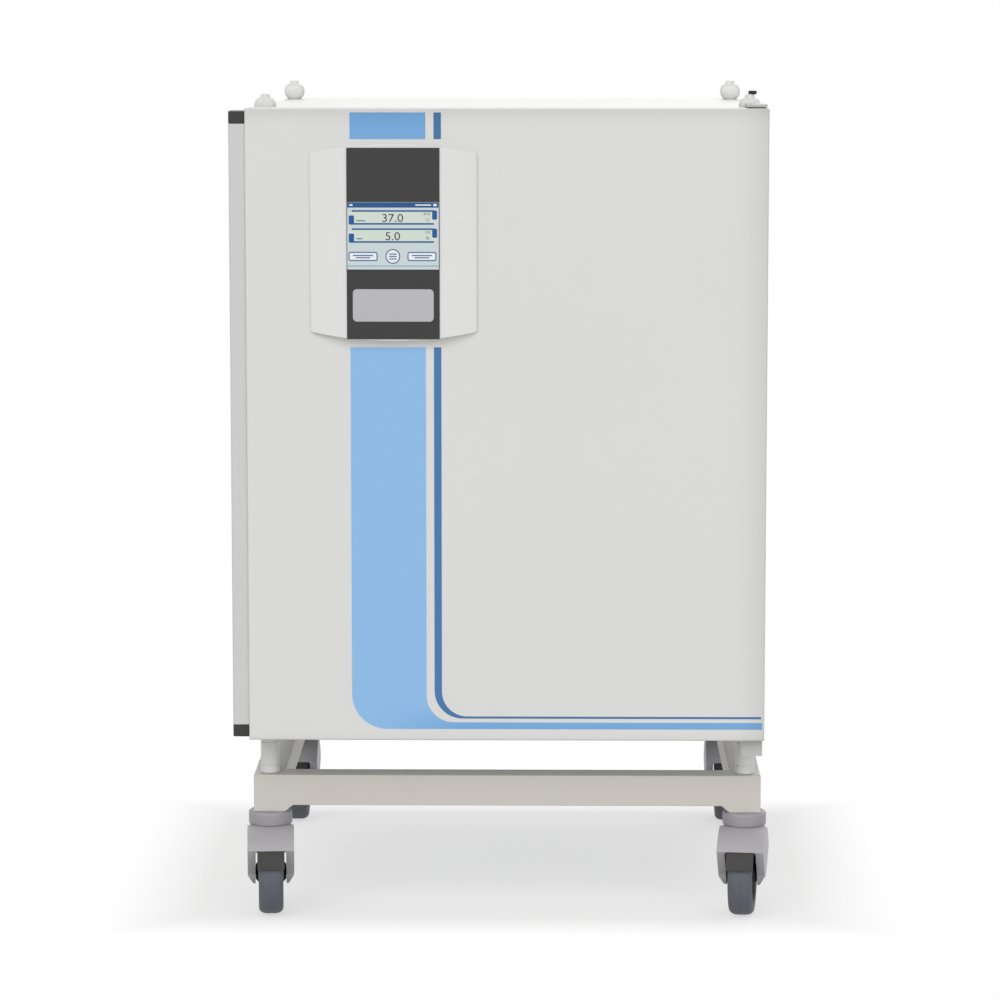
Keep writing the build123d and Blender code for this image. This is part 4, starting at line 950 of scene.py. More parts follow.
class Patterns:
    """The patterns of the object, each built once."""

    def __init__(self) -> None:
        """Builds every tree."""
        self.ring = self.around_an_axis()
        self.heads = self.screw_heads()
        self.path = self.along_a_path()

    @staticmethod
    def around_an_axis() -> Pattern:
        """Repeats a shape around an upright axis, turned outwards."""
        pattern = Pattern("around_an_axis")
        shape = pattern.shape("Shape")
        values = {"Vertices": pattern.size("Count", "NodeSocketInt"), "Radius": pattern.size("Radius")}
        points = pattern.value("GeometryNodeMeshCircle", {}, values)
        where = pattern.value("GeometryNodeInputPosition")
        outwards = {"axis": "X", "pivot_axis": "Z"}
        turn = pattern.value("FunctionNodeAlignRotationToVector", outwards, {"Vector": where})
        values = {"Points": points, "Instance": shape, "Rotation": turn}
        return pattern.close(pattern.value("GeometryNodeInstanceOnPoints", {}, values))

    @staticmethod
    def screw_heads() -> Pattern:
        """Puts a head on every point, standing out from its face and turned at random."""
        pattern = Pattern("screw_heads")
        shape = pattern.shape("Shape")
        scale, seed = pattern.size("Head Size"), pattern.size("Seed", "NodeSocketInt")
        attribute = {"data_type": "FLOAT_VECTOR"}
        facing = pattern.value("GeometryNodeInputNamedAttribute", attribute, {"Name": "facing"})
        upright = pattern.value("FunctionNodeAlignRotationToVector", {"axis": "Z"}, {"Vector": facing})
        span = {2: 0.0, 3: SIXTH_TURN, "Seed": seed}
        angle = pattern.value("FunctionNodeRandomValue", {"data_type": "FLOAT"}, span, 1)
        axis = {"Axis": (0.0, 0.0, 1.0), "Angle": angle}
        spin = pattern.value("FunctionNodeAxisAngleToRotation", {}, axis)
        space = {"rotation_space": "LOCAL"}
        turn = pattern.value("FunctionNodeRotateRotation", space, {"Rotation": upright, "Rotate By": spin})
        values = {"Points": pattern.base, "Instance": shape, "Rotation": turn, "Scale": scale}
        return pattern.close(pattern.value("GeometryNodeInstanceOnPoints", {}, values))

    @staticmethod
    def along_a_path() -> Pattern:
        """Carries a profile along a closed path."""
        pattern = Pattern("along_a_path")
        path = pattern.value("GeometryNodeMeshToCurve", {}, {"Mesh": pattern.base})
        path = pattern.value("GeometryNodeSetCurveNormal", {"mode": "Z_UP"}, {"Curve": path})
        profile = pattern.value("GeometryNodeMeshToCurve", {}, {"Mesh": pattern.shape("Profile")})
        values = {"Curve": path, "Profile Curve": profile}
        return pattern.close(pattern.value("GeometryNodeCurveToMesh", {}, values))


def loop_mesh(name: str, points: Sequence[Point]) -> bpy.types.Mesh:
    """A mesh of one closed loop of edges.

    Args:
        name: The mesh's name.
        points: The loop's points.

    Returns:
        The mesh.
    """
    mesh = bpy.data.meshes.new(name)
    mesh.from_pydata(list(points), [(i, (i + 1) % len(points)) for i in range(len(points))], [])
    return mesh


class Workshop:
    """Dresses pieces and hands them to the frame."""

    def __init__(self) -> None:
        """Starts with the finishes and the patterns."""
        self.finishes = Finishes()
        self.patterns = Patterns()

    def dress(
        self,
        obj: bpy.types.Object,
        body: str,
        slot: str,
        finish: str | None = None,
        nodes: Iterable[str] = (),
    ) -> bpy.types.Object:
        """Gives a piece its material, its body and the nodes that it stands for.

        Args:
            obj: The piece.
            body: The body that it rides on.
            slot: The record's material slot.
            finish: The finish, if it isn't the slot's own.
            nodes: The CAD nodes that it stands for.

        Returns:
            The piece.
        """
        obj.data.materials.clear()
        obj.data.materials.append(self.finishes[finish or slot])
        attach(obj, body)
        for node in nodes:
            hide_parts(node)
        LOG.info("%s rides on %s", obj.name, body)
        return obj

    def fit(self, obj: bpy.types.Object, *dressing: Any, **named: Any) -> bpy.types.Object:
        """Moves a drawn piece from its millimetres into the frame and dresses it."""
        obj.data.transform(INTO_FRAME)
        return self.dress(obj, *dressing, **named)

    def refined(
        self,
        node: str,
        edge: float,
        segments: int = 2,
        finish: str | None = None,
        shaped: Callable[[bmesh.types.BMesh], None] | None = None,
    ) -> bpy.types.Object:
        """Replaces a CAD node by a copy with merged faces and rounded edges.

        Args:
            node: The CAD node.
            edge: Width of the rounding, in millimetres.
            segments: Faces across the rounding.
            finish: The finish, if it isn't its slot's own.
            shaped: A function that reshapes the merged copy.

        Returns:
            The piece that stands for the node.
        """
        mesh = frame["nodes"][node].data.copy()
        shape = bmesh.new()
        shape.from_mesh(mesh)
        bmesh.ops.remove_doubles(shape, verts=shape.verts, dist=MERGE)
        bmesh.ops.dissolve_limit(
            shape,
            angle_limit=radians(FLAT_ENOUGH),
            verts=shape.verts,
            edges=shape.edges,
            use_dissolve_boundaries=False,
        )
        if shaped:
            shaped(shape)
        shape.to_mesh(mesh)
        shape.free()
        piece = new_object(f"{node}_looks", mesh)
        softened(piece, edge * MM, segments=segments)
        return self.dress(piece, body_of(node), slot_of(node), finish, nodes=[node])

    def along(
        self, name: str, path: Sequence[Flat], depth: float, profile: Sequence[Flat]
    ) -> bpy.types.Object:
        """Carries a profile along a closed path on an upright face.

        Args:
            name: The piece's name.
            path: The path's points, as X and Z.
            depth: The depth that the profile starts at.
            profile: The profile: outwards across the path, and backwards from the depth.

        Returns:
            The piece, in millimetres.
        """
        base = loop_mesh(name, [(x, z, 0.0) for x, z in path])
        section = loop_mesh(f"{name}_profile", [(a, b, 0.0) for a, b in profile])
        rubber = self.finishes["gasket_rubber"]
        values = {"Profile": new_object(f"{name}_profile", section), "Finish": rubber}
        piece = self.patterns.path.run(name, base, values)
        high = max(vert.co.z for vert in piece.data.vertices)
        low = min(vert.co.z for vert in piece.data.vertices)
        way = 1.0 if high > -low else -1.0
        shape = bmesh.new()
        shape.from_mesh(piece.data)
        for vert in shape.verts:
            vert.co = Vector((vert.co.x, depth + way * vert.co.z, vert.co.y))
        bmesh.ops.recalc_face_normals(shape, faces=shape.faces)
        shape.to_mesh(piece.data)
        shape.free()
        piece.data.shade_smooth()
        return piece


@dataclass(frozen=True)
class Sun:
    """A soft sun lamp: its turn about X, Y and Z and its angular size in degrees, and its strength."""

    name: str
    turn: Point
    strength: float
    spread: float

    def hang(self) -> None:
        """Hangs the lamp."""
        data = bpy.data.lights.new(self.name, "SUN")
        data.energy = self.strength
        data.angle = radians(self.spread)
        lamp = bpy.data.objects.new(self.name, data)
        lamp.rotation_euler = tuple(radians(angle) for angle in self.turn)
        bpy.context.scene.collection.objects.link(lamp)


@dataclass
class Studio:
    """Floor, backdrop, lamps and camera."""

    lens: float = 146.37
    film: float = 36.0
    eye: Point = (0.0760, -6.2785, 1.4084)
    tilt: float = 82.45
    turn: float = 0.76
    far: float = 100.0
    floor_radius: float = 30.0
    half_width: float = 0.46
    half_depth: float = 0.38
    fade_from: float = 0.98
    fade_over: float = 0.3
    near_white: float = 0.6
    paper: Colour = (0.8, 0.8, 0.79)
    surround: float = 0.42
    suns: tuple[Sun, ...] = (
        Sun("key_lamp", (52.0, 0.0, -28.0), 0.98, 38.0),
        Sun("front_fill", (63.0, 0.0, 20.0), 0.8, 50.0),
        Sun("rear_fill", (58.0, 0.0, 160.0), 0.9, 60.0),
    )

    def build(self) -> None:
        """Builds the whole studio."""
        self.camera()
        self.floor()
        self.world()
        for sun in self.suns:
            sun.hang()

    def camera(self) -> None:
        """Places the camera."""
        data = bpy.data.cameras.new("camera")
        data.lens = self.lens
        data.sensor_width = self.film
        data.clip_end = self.far
        camera = bpy.data.objects.new("camera", data)
        camera.location = self.eye
        camera.rotation_euler = (radians(self.tilt), 0.0, radians(self.turn))
        bpy.context.scene.collection.objects.link(camera)
        bpy.context.scene.camera = camera
        bpy.context.scene.view_settings.view_transform = "Standard"

    def floor(self) -> None:
        """Lays a pale floor that fades to white away from the object."""
        shape = bmesh.new()
        bmesh.ops.create_circle(shape, cap_ends=True, segments=96, radius=self.floor_radius)
        mesh = bpy.data.meshes.new("floor")
        shape.to_mesh(mesh)
        shape.free()
        floor = new_object("floor", mesh)
        shading = Shading("floor_paper")
        seen = self.seen(shading)
        scaled = shading.stretched((1 / self.half_width, 1 / self.half_depth, 0.0))
        apart = shading.value("ShaderNodeVectorMath", {"operation": "ABSOLUTE"}, {0: scaled})
        parts = shading.add("ShaderNodeSeparateXYZ", {}, {0: apart})
        across, deep = (Signal(shading, parts.outputs[axis]) for axis in ("X", "Y"))
        reach = shading.value("ShaderNodeMath", {"operation": "MAXIMUM"}, {0: across, 1: deep})
        away = ((reach - self.fade_from) / self.fade_over).clamped()
        white = seen * (self.near_white + away * (1.0 - self.near_white))
        matt = shading.value("ShaderNodeBsdfDiffuse", {}, {"Color": self.paper})
        glow = shading.value("ShaderNodeEmission", {}, {"Color": WHITE, "Strength": 1.0})
        mixed = shading.value("ShaderNodeMixShader", {}, {0: white, 1: matt, 2: glow})
        shading.add("ShaderNodeOutputMaterial", {}, {"Surface": mixed})
        floor.data.materials.append(shading.material)

    @staticmethod
    def seen(shading: Wiring) -> Signal:
        """One for the rays that show a backdrop: camera, glossy and transmission ones."""
        rays = shading.add("ShaderNodeLightPath", {}, {})
        names = ("Is Camera Ray", "Is Glossy Ray", "Is Transmission Ray")
        camera, glossy, through = (Signal(shading, rays.outputs[name]) for name in names)
        return (camera + glossy + through).clamped()

    def world(self) -> None:
        """Sets a white surround that lights the object evenly."""
        world = bpy.data.worlds.new("surround")
        bpy.context.scene.world = world
        world.use_nodes = True
        world.node_tree.nodes.clear()
        wiring = Wiring(world.node_tree)
        seen = self.seen(wiring)
        white = wiring.value("ShaderNodeBackground", {}, {"Color": WHITE, "Strength": 1.0})
        soft = wiring.value("ShaderNodeBackground", {}, {"Color": WHITE, "Strength": self.surround})
        mixed = wiring.value("ShaderNodeMixShader", {}, {0: seen, 1: soft, 2: white})
        wiring.add("ShaderNodeOutputWorld", {}, {"Surface": mixed})


@dataclass
class DoorStripes:
    """Coloured films on the door, in two parts above and below the control panel."""

    front: float = -0.3
    back: float = 0.2
    top: float = 1192.6
    panel_top: float = 1154.3
    panel_foot: float = 853.4
    light_sides: Flat = (-226.4, -117.2)
    light_foot: Flat = (291.3, 301.2)
    light_radii: Flat = (51.5, 40.0)
    light_end: float = 374.6
    dark_sides: Flat = (-105.4, -94.7)
    dark_foot: Flat = (306.9, 310.0)
    dark_radii: Flat = (41.0, 37.0)
    dark_end: float = 373.1
    body: str = "outer_door"
    slot: str = "grey_painted_steel"
    corner_chords: int = 16

    def edge(self, side: float, foot: float, radius: float, end: float) -> list[Flat]:
        """One edge of a film: down, round the corner and to the right."""
        corner = arc((side + radius, foot + radius), (radius, radius), 180, 270, self.corner_chords)
        return [(side, self.panel_foot), *corner, (end, foot)]

    def build(self, shop: Workshop) -> None:
        """Builds both films."""
        films = (
            ("light", self.light_sides, self.light_foot, self.light_radii, self.light_end),
            ("dark", self.dark_sides, self.dark_foot, self.dark_radii, self.dark_end),
        )
        for tone, sides, foot, radii, end in films:
            lines = [self.edge(sides[i], foot[i], radii[i], end) for i in (0, 1)]
            film = Sketch().ribbon(lines[0], lines[1], self.front, self.back)
            upper = [[(sides[i], self.top), (sides[i], self.panel_top)] for i in (0, 1)]
            film.ribbon(upper[0], upper[1], self.front, self.back)
            piece = new_object(f"{tone}_film", film.mesh(f"{tone}_film"))
            shop.fit(piece, self.body, self.slot, f"{tone}_film")


@dataclass
class Display:
    """The touch screen and what it shows, measured rightwards and down from its upper left corner."""

    left: float = -229.5
    top: float = 1064.5
    width: float = 132.0
    height: float = 97.0
    face: float = -16.3
    back: float = -15.5
    lift: float = 0.12
    body: str = "outer_door"
    slot: str = "screen"
    header: Box = (0.3, 131.7, 0.3, 7.8, 0.4)
    rows: Flat = (11.4, 37.5)
    rules: Flat = (6.5, 125.0)
    row_height: float = 21.0
    field: Flat = (2.2, 129.6)
    rule_width: float = 2.5
    left_tab: Box = (2.2, 9.9, 7.6, 20.9, 2.0)
    right_tab: Box = (122.4, 129.5, 0.5, 13.8, 2.0)
    keys: tuple[Box, ...] = (
        (1.7, 43.7, 71.5, 84.8, 3.0),
        (86.7, 128.5, 71.5, 84.8, 3.0),
        (54.8, 76.4, 67.3, 88.9, 10.7),
    )
    key_rim: float = 1.6
    bars: tuple[Box, ...] = (
        (8.0, 37.0, 76.0, 77.6, 0.7),
        (12.0, 33.0, 79.2, 80.8, 0.7),
        (93.0, 122.0, 76.0, 77.6, 0.7),
        (97.0, 118.0, 79.2, 80.8, 0.7),
        (60.0, 71.2, 77.4, 79.0, 0.7),
        (60.0, 71.2, 80.9, 82.5, 0.7),
        (60.0, 71.2, 73.9, 75.5, 0.7),
        (13.0, 26.0, 26.0, 27.4, 0.6),
        (13.0, 22.0, 52.0, 53.4, 0.6),
        (0.5, 131.5, 91.6, 92.3, 0.3),
    )
    marks: tuple[Box, ...] = (
        (3.0, 8.0, 2.9, 5.2, 1.0),
        (98.0, 121.0, 3.2, 4.9, 0.8),
        (124.0, 129.0, 2.4, 5.7, 0.8),
    )
    readings: tuple[Words, ...] = (
        ("37.0", 65.6, 22.7, 30.0, 11.7),
        ("5.0", 65.6, 48.9, 21.0, 11.7),
        ("37.0", 114.4, 17.0, 8.8, 3.6),
        ("5.0", 116.0, 43.0, 6.2, 3.6),
        ("°C", 115.2, 25.6, 6.2, 4.2),
        ("%", 115.8, 51.6, 5.0, 4.2),
    )

    def build(self, shop: Workshop) -> None:
        """Builds the screen."""
        centre = (self.left + self.width / 2, self.top - self.height / 2)
        outline = rounded(centre, self.width, self.height, 1.0)
        ground = Sketch().prism(outline, Way.DEPTH, self.face, self.back).piece("display_ground", 0.15)
        shop.fit(ground, self.body, self.slot, "display_ground", nodes=["display_screen"])
        foot, inset = self.row_height, self.rule_width
        rules = [(*self.rules, row, row + foot, 1.0) for row in self.rows]
        fields = [(*self.field, row + inset, row + foot - inset, 0.5) for row in self.rows]
        tabs = [self.lowered(tab, row) for tab in (self.left_tab, self.right_tab) for row in self.rows]
        rim = self.key_rim
        keys = [(a + rim, b - rim, c + rim, d - rim, radius - rim) for a, b, c, d, radius in self.keys]
        layers = (
            ("display_header", "display_header", [self.header], 1),
            ("display_lines", "display_line", rules, 1),
            ("display_fields", "display_field", fields, 2),
            ("display_tabs", "display_tab", tabs, 3),
            ("display_key_rims", "display_line", self.keys, 1),
            ("display_keys", "display_key", keys, 2),
            ("display_bars", "display_line", self.bars, 3),
            ("display_marks", "display_key", self.marks, 3),
        )
        for name, finish, boxes, level in layers:
            self.panel(shop, name, finish, boxes, level)
        self.words(shop, "display_digits")

    @staticmethod
    def lowered(box: Box, down: float) -> Box:
        """A box moved down by a distance."""
        left, right, top, bottom, radius = box
        return (left, right, top + down, bottom + down, radius)

    def panel(self, shop: Workshop, name: str, finish: str, boxes: Iterable[Box], level: int) -> None:
        """Builds flat shapes of one colour on the screen.

        Args:
            shop: The workshop.
            name: The piece's name.
            finish: Its finish.
            boxes: Left, right, top, bottom and corner radius of each.
            level: How many layers it lies above the screen's face.
        """
        sketch = Sketch()
        for left, right, top, bottom, radius in boxes:
            centre = (self.left + (left + right) / 2, self.top - (top + bottom) / 2)
            outline = rounded(centre, right - left, bottom - top, radius, 4)
            sketch.prism(outline, Way.DEPTH, self.face - self.lift * level, self.face + 0.1)
        shop.fit(new_object(name, sketch.mesh(name)), self.body, self.slot, finish)

    def words(self, shop: Workshop, name: str) -> None:
        """Writes the readings and their units on the screen.

        Args:
            shop: The workshop.
            name: The piece's name.
        """
        joined = bmesh.new()
        for text, across, down, width, height in self.readings:
            curve = bpy.data.curves.new(name, "FONT")
            curve.body = text
            writing = bpy.data.objects.new(name, curve)
            bpy.context.scene.collection.objects.link(writing)
            graph = bpy.context.evaluated_depsgraph_get()
            mesh = bpy.data.meshes.new_from_object(writing.evaluated_get(graph), depsgraph=graph)
            bpy.data.objects.remove(writing)
            low = [min(vert.co[i] for vert in mesh.vertices) for i in (0, 1)]
            high = [max(vert.co[i] for vert in mesh.vertices) for i in (0, 1)]
            for vert in mesh.vertices:
                x = (vert.co.x - (low[0] + high[0]) / 2) * width / (high[0] - low[0])
                z = (vert.co.y - (low[1] + high[1]) / 2) * height / (high[1] - low[1])
                vert.co = Vector((self.left + across + x, self.face - 4 * self.lift, self.top - down + z))
            joined.from_mesh(mesh)
            bpy.data.meshes.remove(mesh)
        solid = bmesh.ops.extrude_face_region(joined, geom=joined.faces[:])
        for vert in (item for item in solid["geom"] if isinstance(item, bmesh.types.BMVert)):
            vert.co.y = self.face
        bmesh.ops.recalc_face_normals(joined, faces=joined.faces)
        mesh = bpy.data.meshes.new(name)
        joined.to_mesh(mesh)
        joined.free()
        shop.fit(new_object(name, mesh), self.body, self.slot, "display_digit")


@dataclass
class OuterDoor:
    """The painted door with its grip strip, its control panel and its gasket."""

    gasket_outer: tuple[float, float, float] = (362.0, 298.0, 1156.0)
    gasket_width: float = 12.0
    gasket_depth: Flat = (65.0, 76.7)
    gasket_corner: float = 6.0
    gasket_side: tuple[Flat, ...] = ((0.0, 1.8), (3.4, 2.6), (3.4, 4.4), (0.6, 5.2), (0.2, 8.6))
    gasket_lip: float = 1.2
    skin_edge: float = 0.8
    edges: tuple[tuple[str, float], ...] = (
        ("door_liner", 1.0),
        ("door_insulation", 0.6),
        ("grip_strip", 0.8),
        ("grip_caps", 1.0),
        ("control_bezel", 1.6),
        ("control_overlay", 0.3),
        ("nameplate", 0.35),
    )

    def build(self, shop: Workshop) -> None:
        """Builds the whole door."""
        shop.refined("door_skin", self.skin_edge, finish="door_paint")
        for node, edge in self.edges:
            shop.refined(node, edge)
        DoorStripes().build(shop)
        Display().build(shop)
        self.gasket(shop)

    def gasket(self, shop: Workshop) -> None:
        """Carries the bellows profile of the magnetic gasket around the door."""
        half, low, high = self.gasket_outer
        middle = self.gasket_width / 2
        width, height = 2 * (half - middle), high - low - 2 * middle
        path = rounded((0.0, (low + high) / 2), width, height, self.gasket_corner)
        deep = self.gasket_depth[1] - self.gasket_depth[0]
        folds = [(inward - middle, along) for inward, along in self.gasket_side]
        side = [(-middle, 0.0), *folds, (self.gasket_lip - middle, deep)]
        profile = side + [(-x, y) for x, y in reversed(side)]
        piece = shop.along("door_gasket_bellows", path, self.gasket_depth[0], profile)
        shop.fit(piece, "outer_door", slot_of("door_gasket"), nodes=["door_gasket"])


@dataclass
class StackingMounts:
    """Four lobed domes on the cabinet's top, which another unit's feet would stand in."""

    places: tuple[Flat, ...] = ((-354.0, 100.0), (354.0, 100.0), (-354.0, 775.0), (354.0, 775.0))
    top: float = 1186.0
    lobes: int = 3
    steps: int = 60
    body: str = "cabinet"
    node: str = "stacking_mounts"
    profile: tuple[Point, ...] = (
        (9.5, 0.0, 0.0),
        (11.5, 1.6, 0.05),
        (14.2, 5.5, 0.12),
        (15.2, 11.0, 0.16),
        (15.0, 16.0, 0.16),
        (13.6, 20.5, 0.14),
        (11.2, 23.4, 0.1),
        (8.2, 24.6, 0.04),
        (7.4, 25.4, 0.0),
        (7.0, 28.4, 0.0),
        (5.8, 29.8, 0.0),
        (3.0, 30.0, 0.0),
    )
    insert_place: Flat = (358.0, 100.0)
    insert_slot: str = "dark_plastic"
    insert_radius: float = 5.6
    insert_foot: float = 30.0
    insert_profile: tuple[Flat, ...] = ((5.6, 29.8), (5.6, 34.2), (5.0, 34.8))
    teeth: int = 28
    tooth: tuple[Flat, ...] = ((-0.5, -0.42), (0.45, 0.0), (-0.5, 0.42))
    tooth_height: float = 4.6

    def build(self, shop: Workshop) -> None:
        """Builds the four domes and the insert in the front right one."""
        self.domes(shop)
        self.insert(shop)

    def domes(self, shop: Workshop) -> None:
        """Builds the four domes."""
        sketch = Sketch()
        for x, y in self.places:
            rings = []
            for radius, height, lobed in self.profile:
                ring = []
                for i in range(self.steps):
                    angle = 2 * pi * i / self.steps
                    reach = radius * (1 + lobed * cos(self.lobes * (angle - pi / 2)))
                    ring.append((x + reach * cos(angle), y + reach * sin(angle), self.top + height))
                rings.append(ring)
            sketch.loft(rings)
        piece = new_object("stacking_domes", sketch.mesh("stacking_domes"))
        piece.data.shade_smooth()
        shop.fit(piece, self.body, slot_of(self.node), nodes=[self.node])

    def insert(self, shop: Workshop) -> None:
        """Builds the knurled insert."""
        tooth = Sketch().prism(self.tooth, Way.UP, 0.0, self.tooth_height)
        values = {
            "Shape": new_object("insert_tooth", tooth.mesh("insert_tooth")),
            "Count": self.teeth,
            "Radius": self.insert_radius,
            "Finish": shop.finishes[self.insert_slot],
        }
        ring = shop.patterns.ring.run("stacking_insert_knurl", bpy.data.meshes.new("knurl"), values)
        ring.data.transform(Matrix.Translation((*self.insert_place, self.top + self.insert_foot)))
        shop.fit(ring, self.body, self.insert_slot)
        core = Sketch().lathe(self.insert_profile, Way.UP, (*self.insert_place, self.top), 32)
        shop.fit(core.piece("stacking_insert", 0.2), self.body, self.insert_slot)


LEGS: tuple[Flat, ...] = ((-354.0, 92.5), (354.0, 92.5), (-354.0, 767.5), (354.0, 767.5))


@dataclass
class LevellingFeet:
    """Four screw feet between the cabinet and the base."""

    places: tuple[Flat, ...] = LEGS
    steps: int = 56
    edge: float = 0.25
    profile: tuple[Flat, ...] = (
        (13.8, 208.3),
        (14.7, 209.2),
        (14.7, 211.6),
        (14.2, 213.0),
        (13.8, 214.4),
        (13.8, 219.4),
        (12.3, 219.8),
        (12.3, 221.6),
        (13.8, 222.0),
        (13.8, 254.6),
        (12.4, 255.2),
        (12.4, 256.8),
        (14.9, 257.4),
        (14.9, 264.6),
        (14.3, 265.7),
        (5.0, 265.7),
        (5.0, 276.5),
        (4.2, 276.7),
    )

    def build(self, shop: Workshop) -> None:
        """Builds the four feet."""
        for number, (x, y) in enumerate(self.places, 1):
            node = f"levelling_foot_{number}"
            turned = Sketch().lathe(self.profile, Way.UP, (x, y, 0.0), self.steps)
            foot = turned.piece(f"turned_foot_{number}", self.edge)
            shop.fit(foot, body_of(node), slot_of(node), nodes=[node])


@dataclass
class Casters:
    """Four swivel casters: cap, fork with a painted shadow in front of the wheel, axle and wheel."""

    places: tuple[Flat, ...] = LEGS
    turns: tuple[float, ...] = (4.0, -7.0, 0.0, 0.0)
    lead: float = 27.0
    radius: float = 62.5
    width: float = 37.0
    half_fork: float = 34.5
    # Half width and top of the painted shadow on the fork in front of the wheel.
    half_guard: float = 21.5
    guard_top: float = 104.5
    slant_top: float = 61.0
    slant_step: float = 8.0
    slant: float = 0.55
    cap_edge: float = 1.2
    fork_edge: float = 2.6
    axle_edge: float = 0.5
    hub_edge: float = 0.4
    edge: float = 0.3
    slot: str = "caster_grey"
    finish: str = "guard_black"
    shoulder: tuple[Flat, ...] = ((46.5, 1.0), (52.0, 0.2), (56.5, 0.6), (60.0, 3.4), (62.0, 8.0))
    groove: tuple[Flat, ...] = ((62.5, 5.0), (62.5, 0.9), (62.1, 0.5))
    rim: tuple[Flat, ...] = ((46.5, 1.4), (44.0, 1.0), (43.0, 3.0))
    rim_inside: tuple[Flat, ...] = ((42.4, 4.0), (42.4, -4.0))
    web: tuple[Flat, ...] = ((42.6, 3.0), (16.0, 3.0), (16.0, -3.0), (42.6, -3.0))
    sleeve: tuple[Flat, ...] = ((16.0, 0.5), (6.4, 0.5))
    ribs: int = 10
    rib_middle: float = 29.2
    rib: Flat = (13.6, 1.2)
    rib_inset: float = 1.4
    cone: tuple[Flat, ...] = ((15.6, -0.6), (15.0, 0.8), (11.6, 3.8), (10.8, 4.2), (6.3, 4.2), (6.3, -0.6))

    def placed(self, number: int) -> Matrix:
        """Where a caster stands, with its turn about its stem."""
        x, y = self.places[number - 1]
        return Matrix.Translation((x, y, 0.0)) @ Matrix.Rotation(radians(self.turns[number - 1]), 4, "Z")

    def build(self, shop: Workshop) -> None:
        """Builds the four casters."""
        shop.refined("caster_heads", self.cap_edge)
        for number in range(1, 5):
            place = self.placed(number)
            shop.refined(f"caster_axle_{number}", self.axle_edge)
            self.fork(shop, number, place)
            self.wheel(shop, number, place)

    def fork(self, shop: Workshop, number: int, place: Matrix) -> None:
        """Cuts the legs' feet slantwise and gives the fork a black painted shadow in front of the wheel.

        Args:
            shop: The workshop.
            number: The caster's number.
            place: The caster's place.
        """
        inward = (INTO_FRAME @ place).inverted()

        def slanted(shape: bmesh.types.BMesh) -> None:
            """Draws the outer faces of the legs in towards their feet."""
            shape.transform(inward)
            # Also splits the faces along the edges of the painted shadow.
            heights = (self.slant_top, self.slant_top - self.slant_step, self.guard_top)
            cuts = [((0, 0, height), (0, 0, 1)) for height in heights]
            cuts += [((side * self.half_guard, 0, 0), (1, 0, 0)) for side in (-1, 1)]
            for place_on, facing in cuts:
                everything = shape.verts[:] + shape.edges[:] + shape.faces[:]
                bmesh.ops.bisect_plane(shape, geom=everything, plane_co=place_on, plane_no=facing)
            for vert in shape.verts:
                reach = self.half_fork - (self.slant_top - vert.co.z) * self.slant
                if vert.co.z < self.slant_top and abs(vert.co.x) > reach:
                    vert.co.x = reach if vert.co.x > 0 else -reach
            shape.transform(inward.inverted())

        piece = shop.refined(f"caster_fork_{number}", self.fork_edge, 3, shaped=slanted)
        # Painted shadow: the fork's faces in front of the wheel, between its legs and below its hood, take
        # the black finish.
        piece.data.materials.append(shop.finishes[self.finish])
        for face in piece.data.polygons:
            centre = inward @ face.center
            if abs(centre.x) < self.half_guard and centre.y < -self.lead and centre.z < self.guard_top:
                face.material_index = 1

    def wheel(self, shop: Workshop, number: int, place: Matrix) -> None:
        """Builds a wheel: its tyre, its hub with ribs and two black end cones.

        Args:
            shop: The workshop.
            number: The caster's number.
            place: The caster's place.
        """
        body, node, half = f"wheel_{number}", f"caster_wheel_{number}", self.width / 2
        axle = (0.0, -self.lead, self.radius)
        side = [(radius, half - inset) for radius, inset in self.shoulder]
        half_tread = [*side, *self.groove]
        tread = [*half_tread, *mirrored(half_tread)]
        tyre = Sketch().lathe(tread, Way.ACROSS, axle, 96, looped=True).moved(place)
        shop.fit(tyre.piece(f"caster_tyre_{number}", self.edge, 50.0), body, slot_of(node), nodes=[node])
        rim = [(radius, half - inset) for radius, inset in self.rim]
        sleeve = [(radius, half - inset) for radius, inset in self.sleeve]
        hub = Sketch().lathe([*rim, *self.rim_inside, *mirrored(rim)], Way.ACROSS, axle, 72, looped=True)
        hub.lathe(self.web, Way.ACROSS, axle, 72, looped=True)
        hub.lathe([*sleeve, *mirrored(sleeve)], Way.ACROSS, axle, 48, looped=True)
        disc = hub.moved(place).piece(f"caster_hub_{number}", self.hub_edge)
        shop.fit(disc, body, self.slot, self.finish)
        self.hub_ribs(shop, number, place @ Matrix.Translation(axle))
        for name, way in (("left", -1.0), ("right", 1.0)):
            profile = [(radius, (half + out) * way) for radius, out in self.cone]
            boss = Sketch().lathe(profile, Way.ACROSS, axle, 40, looped=True).moved(place)
            shop.fit(boss.piece(f"caster_cone_{number}_{name}", self.edge), body, self.slot, self.finish)

    def hub_ribs(self, shop: Workshop, number: int, centre: Matrix) -> None:
        """Sets a hub's ribs around its axle.

        Args:
            shop: The workshop.
            number: The caster's number.
            centre: The wheel's place.
        """
        long, thick = self.rib
        outline = [(-long, -thick), (long, -thick), (long, thick), (-long, thick)]
        reach = self.width / 2 - self.rib_inset
        rib = Sketch().prism(outline, Way.UP, -reach, reach)
        values = {
            "Shape": new_object("rib", rib.mesh("rib")),
            "Count": self.ribs,
            "Radius": self.rib_middle,
            "Finish": shop.finishes[self.finish],
        }
        ribs = shop.patterns.ring.run(f"caster_hub_ribs_{number}", bpy.data.meshes.new("ribs"), values)
        ribs.data.transform(centre @ Matrix.Rotation(radians(90), 4, "Y"))
        shop.fit(ribs, f"wheel_{number}", self.slot, self.finish)


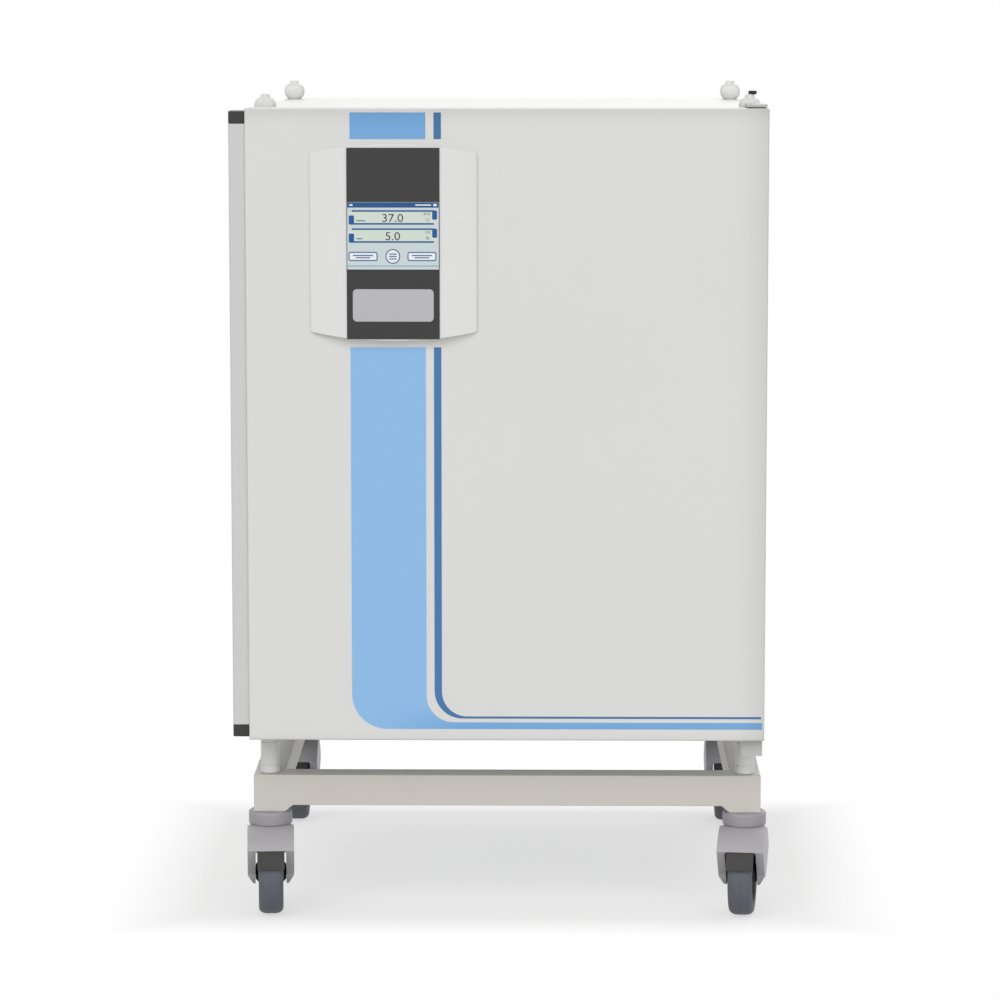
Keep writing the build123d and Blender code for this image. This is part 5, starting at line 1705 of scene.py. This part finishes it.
@dataclass
class ScrewHeads:
    """The screw heads on the back, the supply panel and the hinge plates."""

    node: str = "cabinet_screws"
    body: str = "cabinet"
    radius: float = 4.0
    seed: int = 7
    faces: int = 18
    middle: Point = (0.0, 0.0, 0.73)
    profile: tuple[Flat, ...] = ((1.0, -0.1), (1.0, 0.2), (0.86, 0.38), (0.6, 0.5), (0.42, 0.5), (0.36, 0.15))

    def build(self, shop: Workshop) -> None:
        """Sets a head with a recess where each screw of the CAD node is."""
        shape = bmesh.new()
        shape.from_mesh(frame["nodes"][self.node].data)
        bmesh.ops.remove_doubles(shape, verts=shape.verts, dist=MERGE)
        places = []
        for screw in islands(shape):
            low, high = ([pick(vert.co[i] for vert in screw) for i in range(3)] for pick in (min, max))
            axis = min(range(3), key=lambda i: high[i] - low[i])
            foot = [(low[i] + high[i]) / 2 for i in range(3)]
            way = [0.0, 0.0, 0.0]
            way[axis] = 1.0 if foot[axis] > self.middle[axis] else -1.0
            foot[axis] = low[axis] if way[axis] > 0 else high[axis]
            places.append((tuple(INTO_FRAME.inverted() @ Vector(foot)), tuple(way)))
        shape.free()
        places.sort()
        self.heads(shop, places)

    def heads(self, shop: Workshop, places: Sequence[tuple[Point, Point]]) -> None:
        """Puts the heads on their places as one piece.

        Args:
            shop: The workshop.
            places: The foot and the outward direction of each head.
        """
        finish = slot_of(self.node)
        head = Sketch().lathe(self.profile, Way.UP, (0, 0, 0), self.faces)
        base = bpy.data.meshes.new("screw_heads")
        base.from_pydata([place for place, _ in places], [], [])
        facing = base.attributes.new("facing", "FLOAT_VECTOR", "POINT")
        facing.data.foreach_set("vector", [number for _, way in places for number in way])
        values = {
            "Shape": new_object("screw_head", head.mesh("screw_head")),
            "Head Size": self.radius,
            "Seed": self.seed,
            "Finish": shop.finishes[finish],
        }
        piece = shop.patterns.heads.run("screw_heads", base, values)
        shop.fit(piece, self.body, finish, nodes=[self.node])


@dataclass
class Remaining:
    """The pieces whose CAD shape is right and only needs merged faces and rounded edges."""

    usual: float = 0.5
    softer: tuple[tuple[str, float], ...] = (
        ("base_cross_beams", 1.1),
        ("base_side_rails", 1.1),
        ("cabinet_wrap", 0.8),
        ("humidity_pan", 0.8),
    )

    def build(self, shop: Workshop) -> None:
        """Refines every node that no other class has made."""
        edges = dict(self.softer)
        for node in sorted(frame["nodes"]):
            if not frame["nodes"][node].hide_render:
                shop.refined(node, edges.get(node, self.usual))


def main() -> None:
    """Builds the object's looks in order."""
    logging.basicConfig(level=logging.INFO, format="%(message)s")
    Studio().build()
    shop = Workshop()
    for group in (OuterDoor(), StackingMounts(), LevellingFeet(), Casters(), ScrewHeads(), Remaining()):
        LOG.info("Building %s", type(group).__name__)
        group.build(shop)


if __name__ == "__main__":
    main()
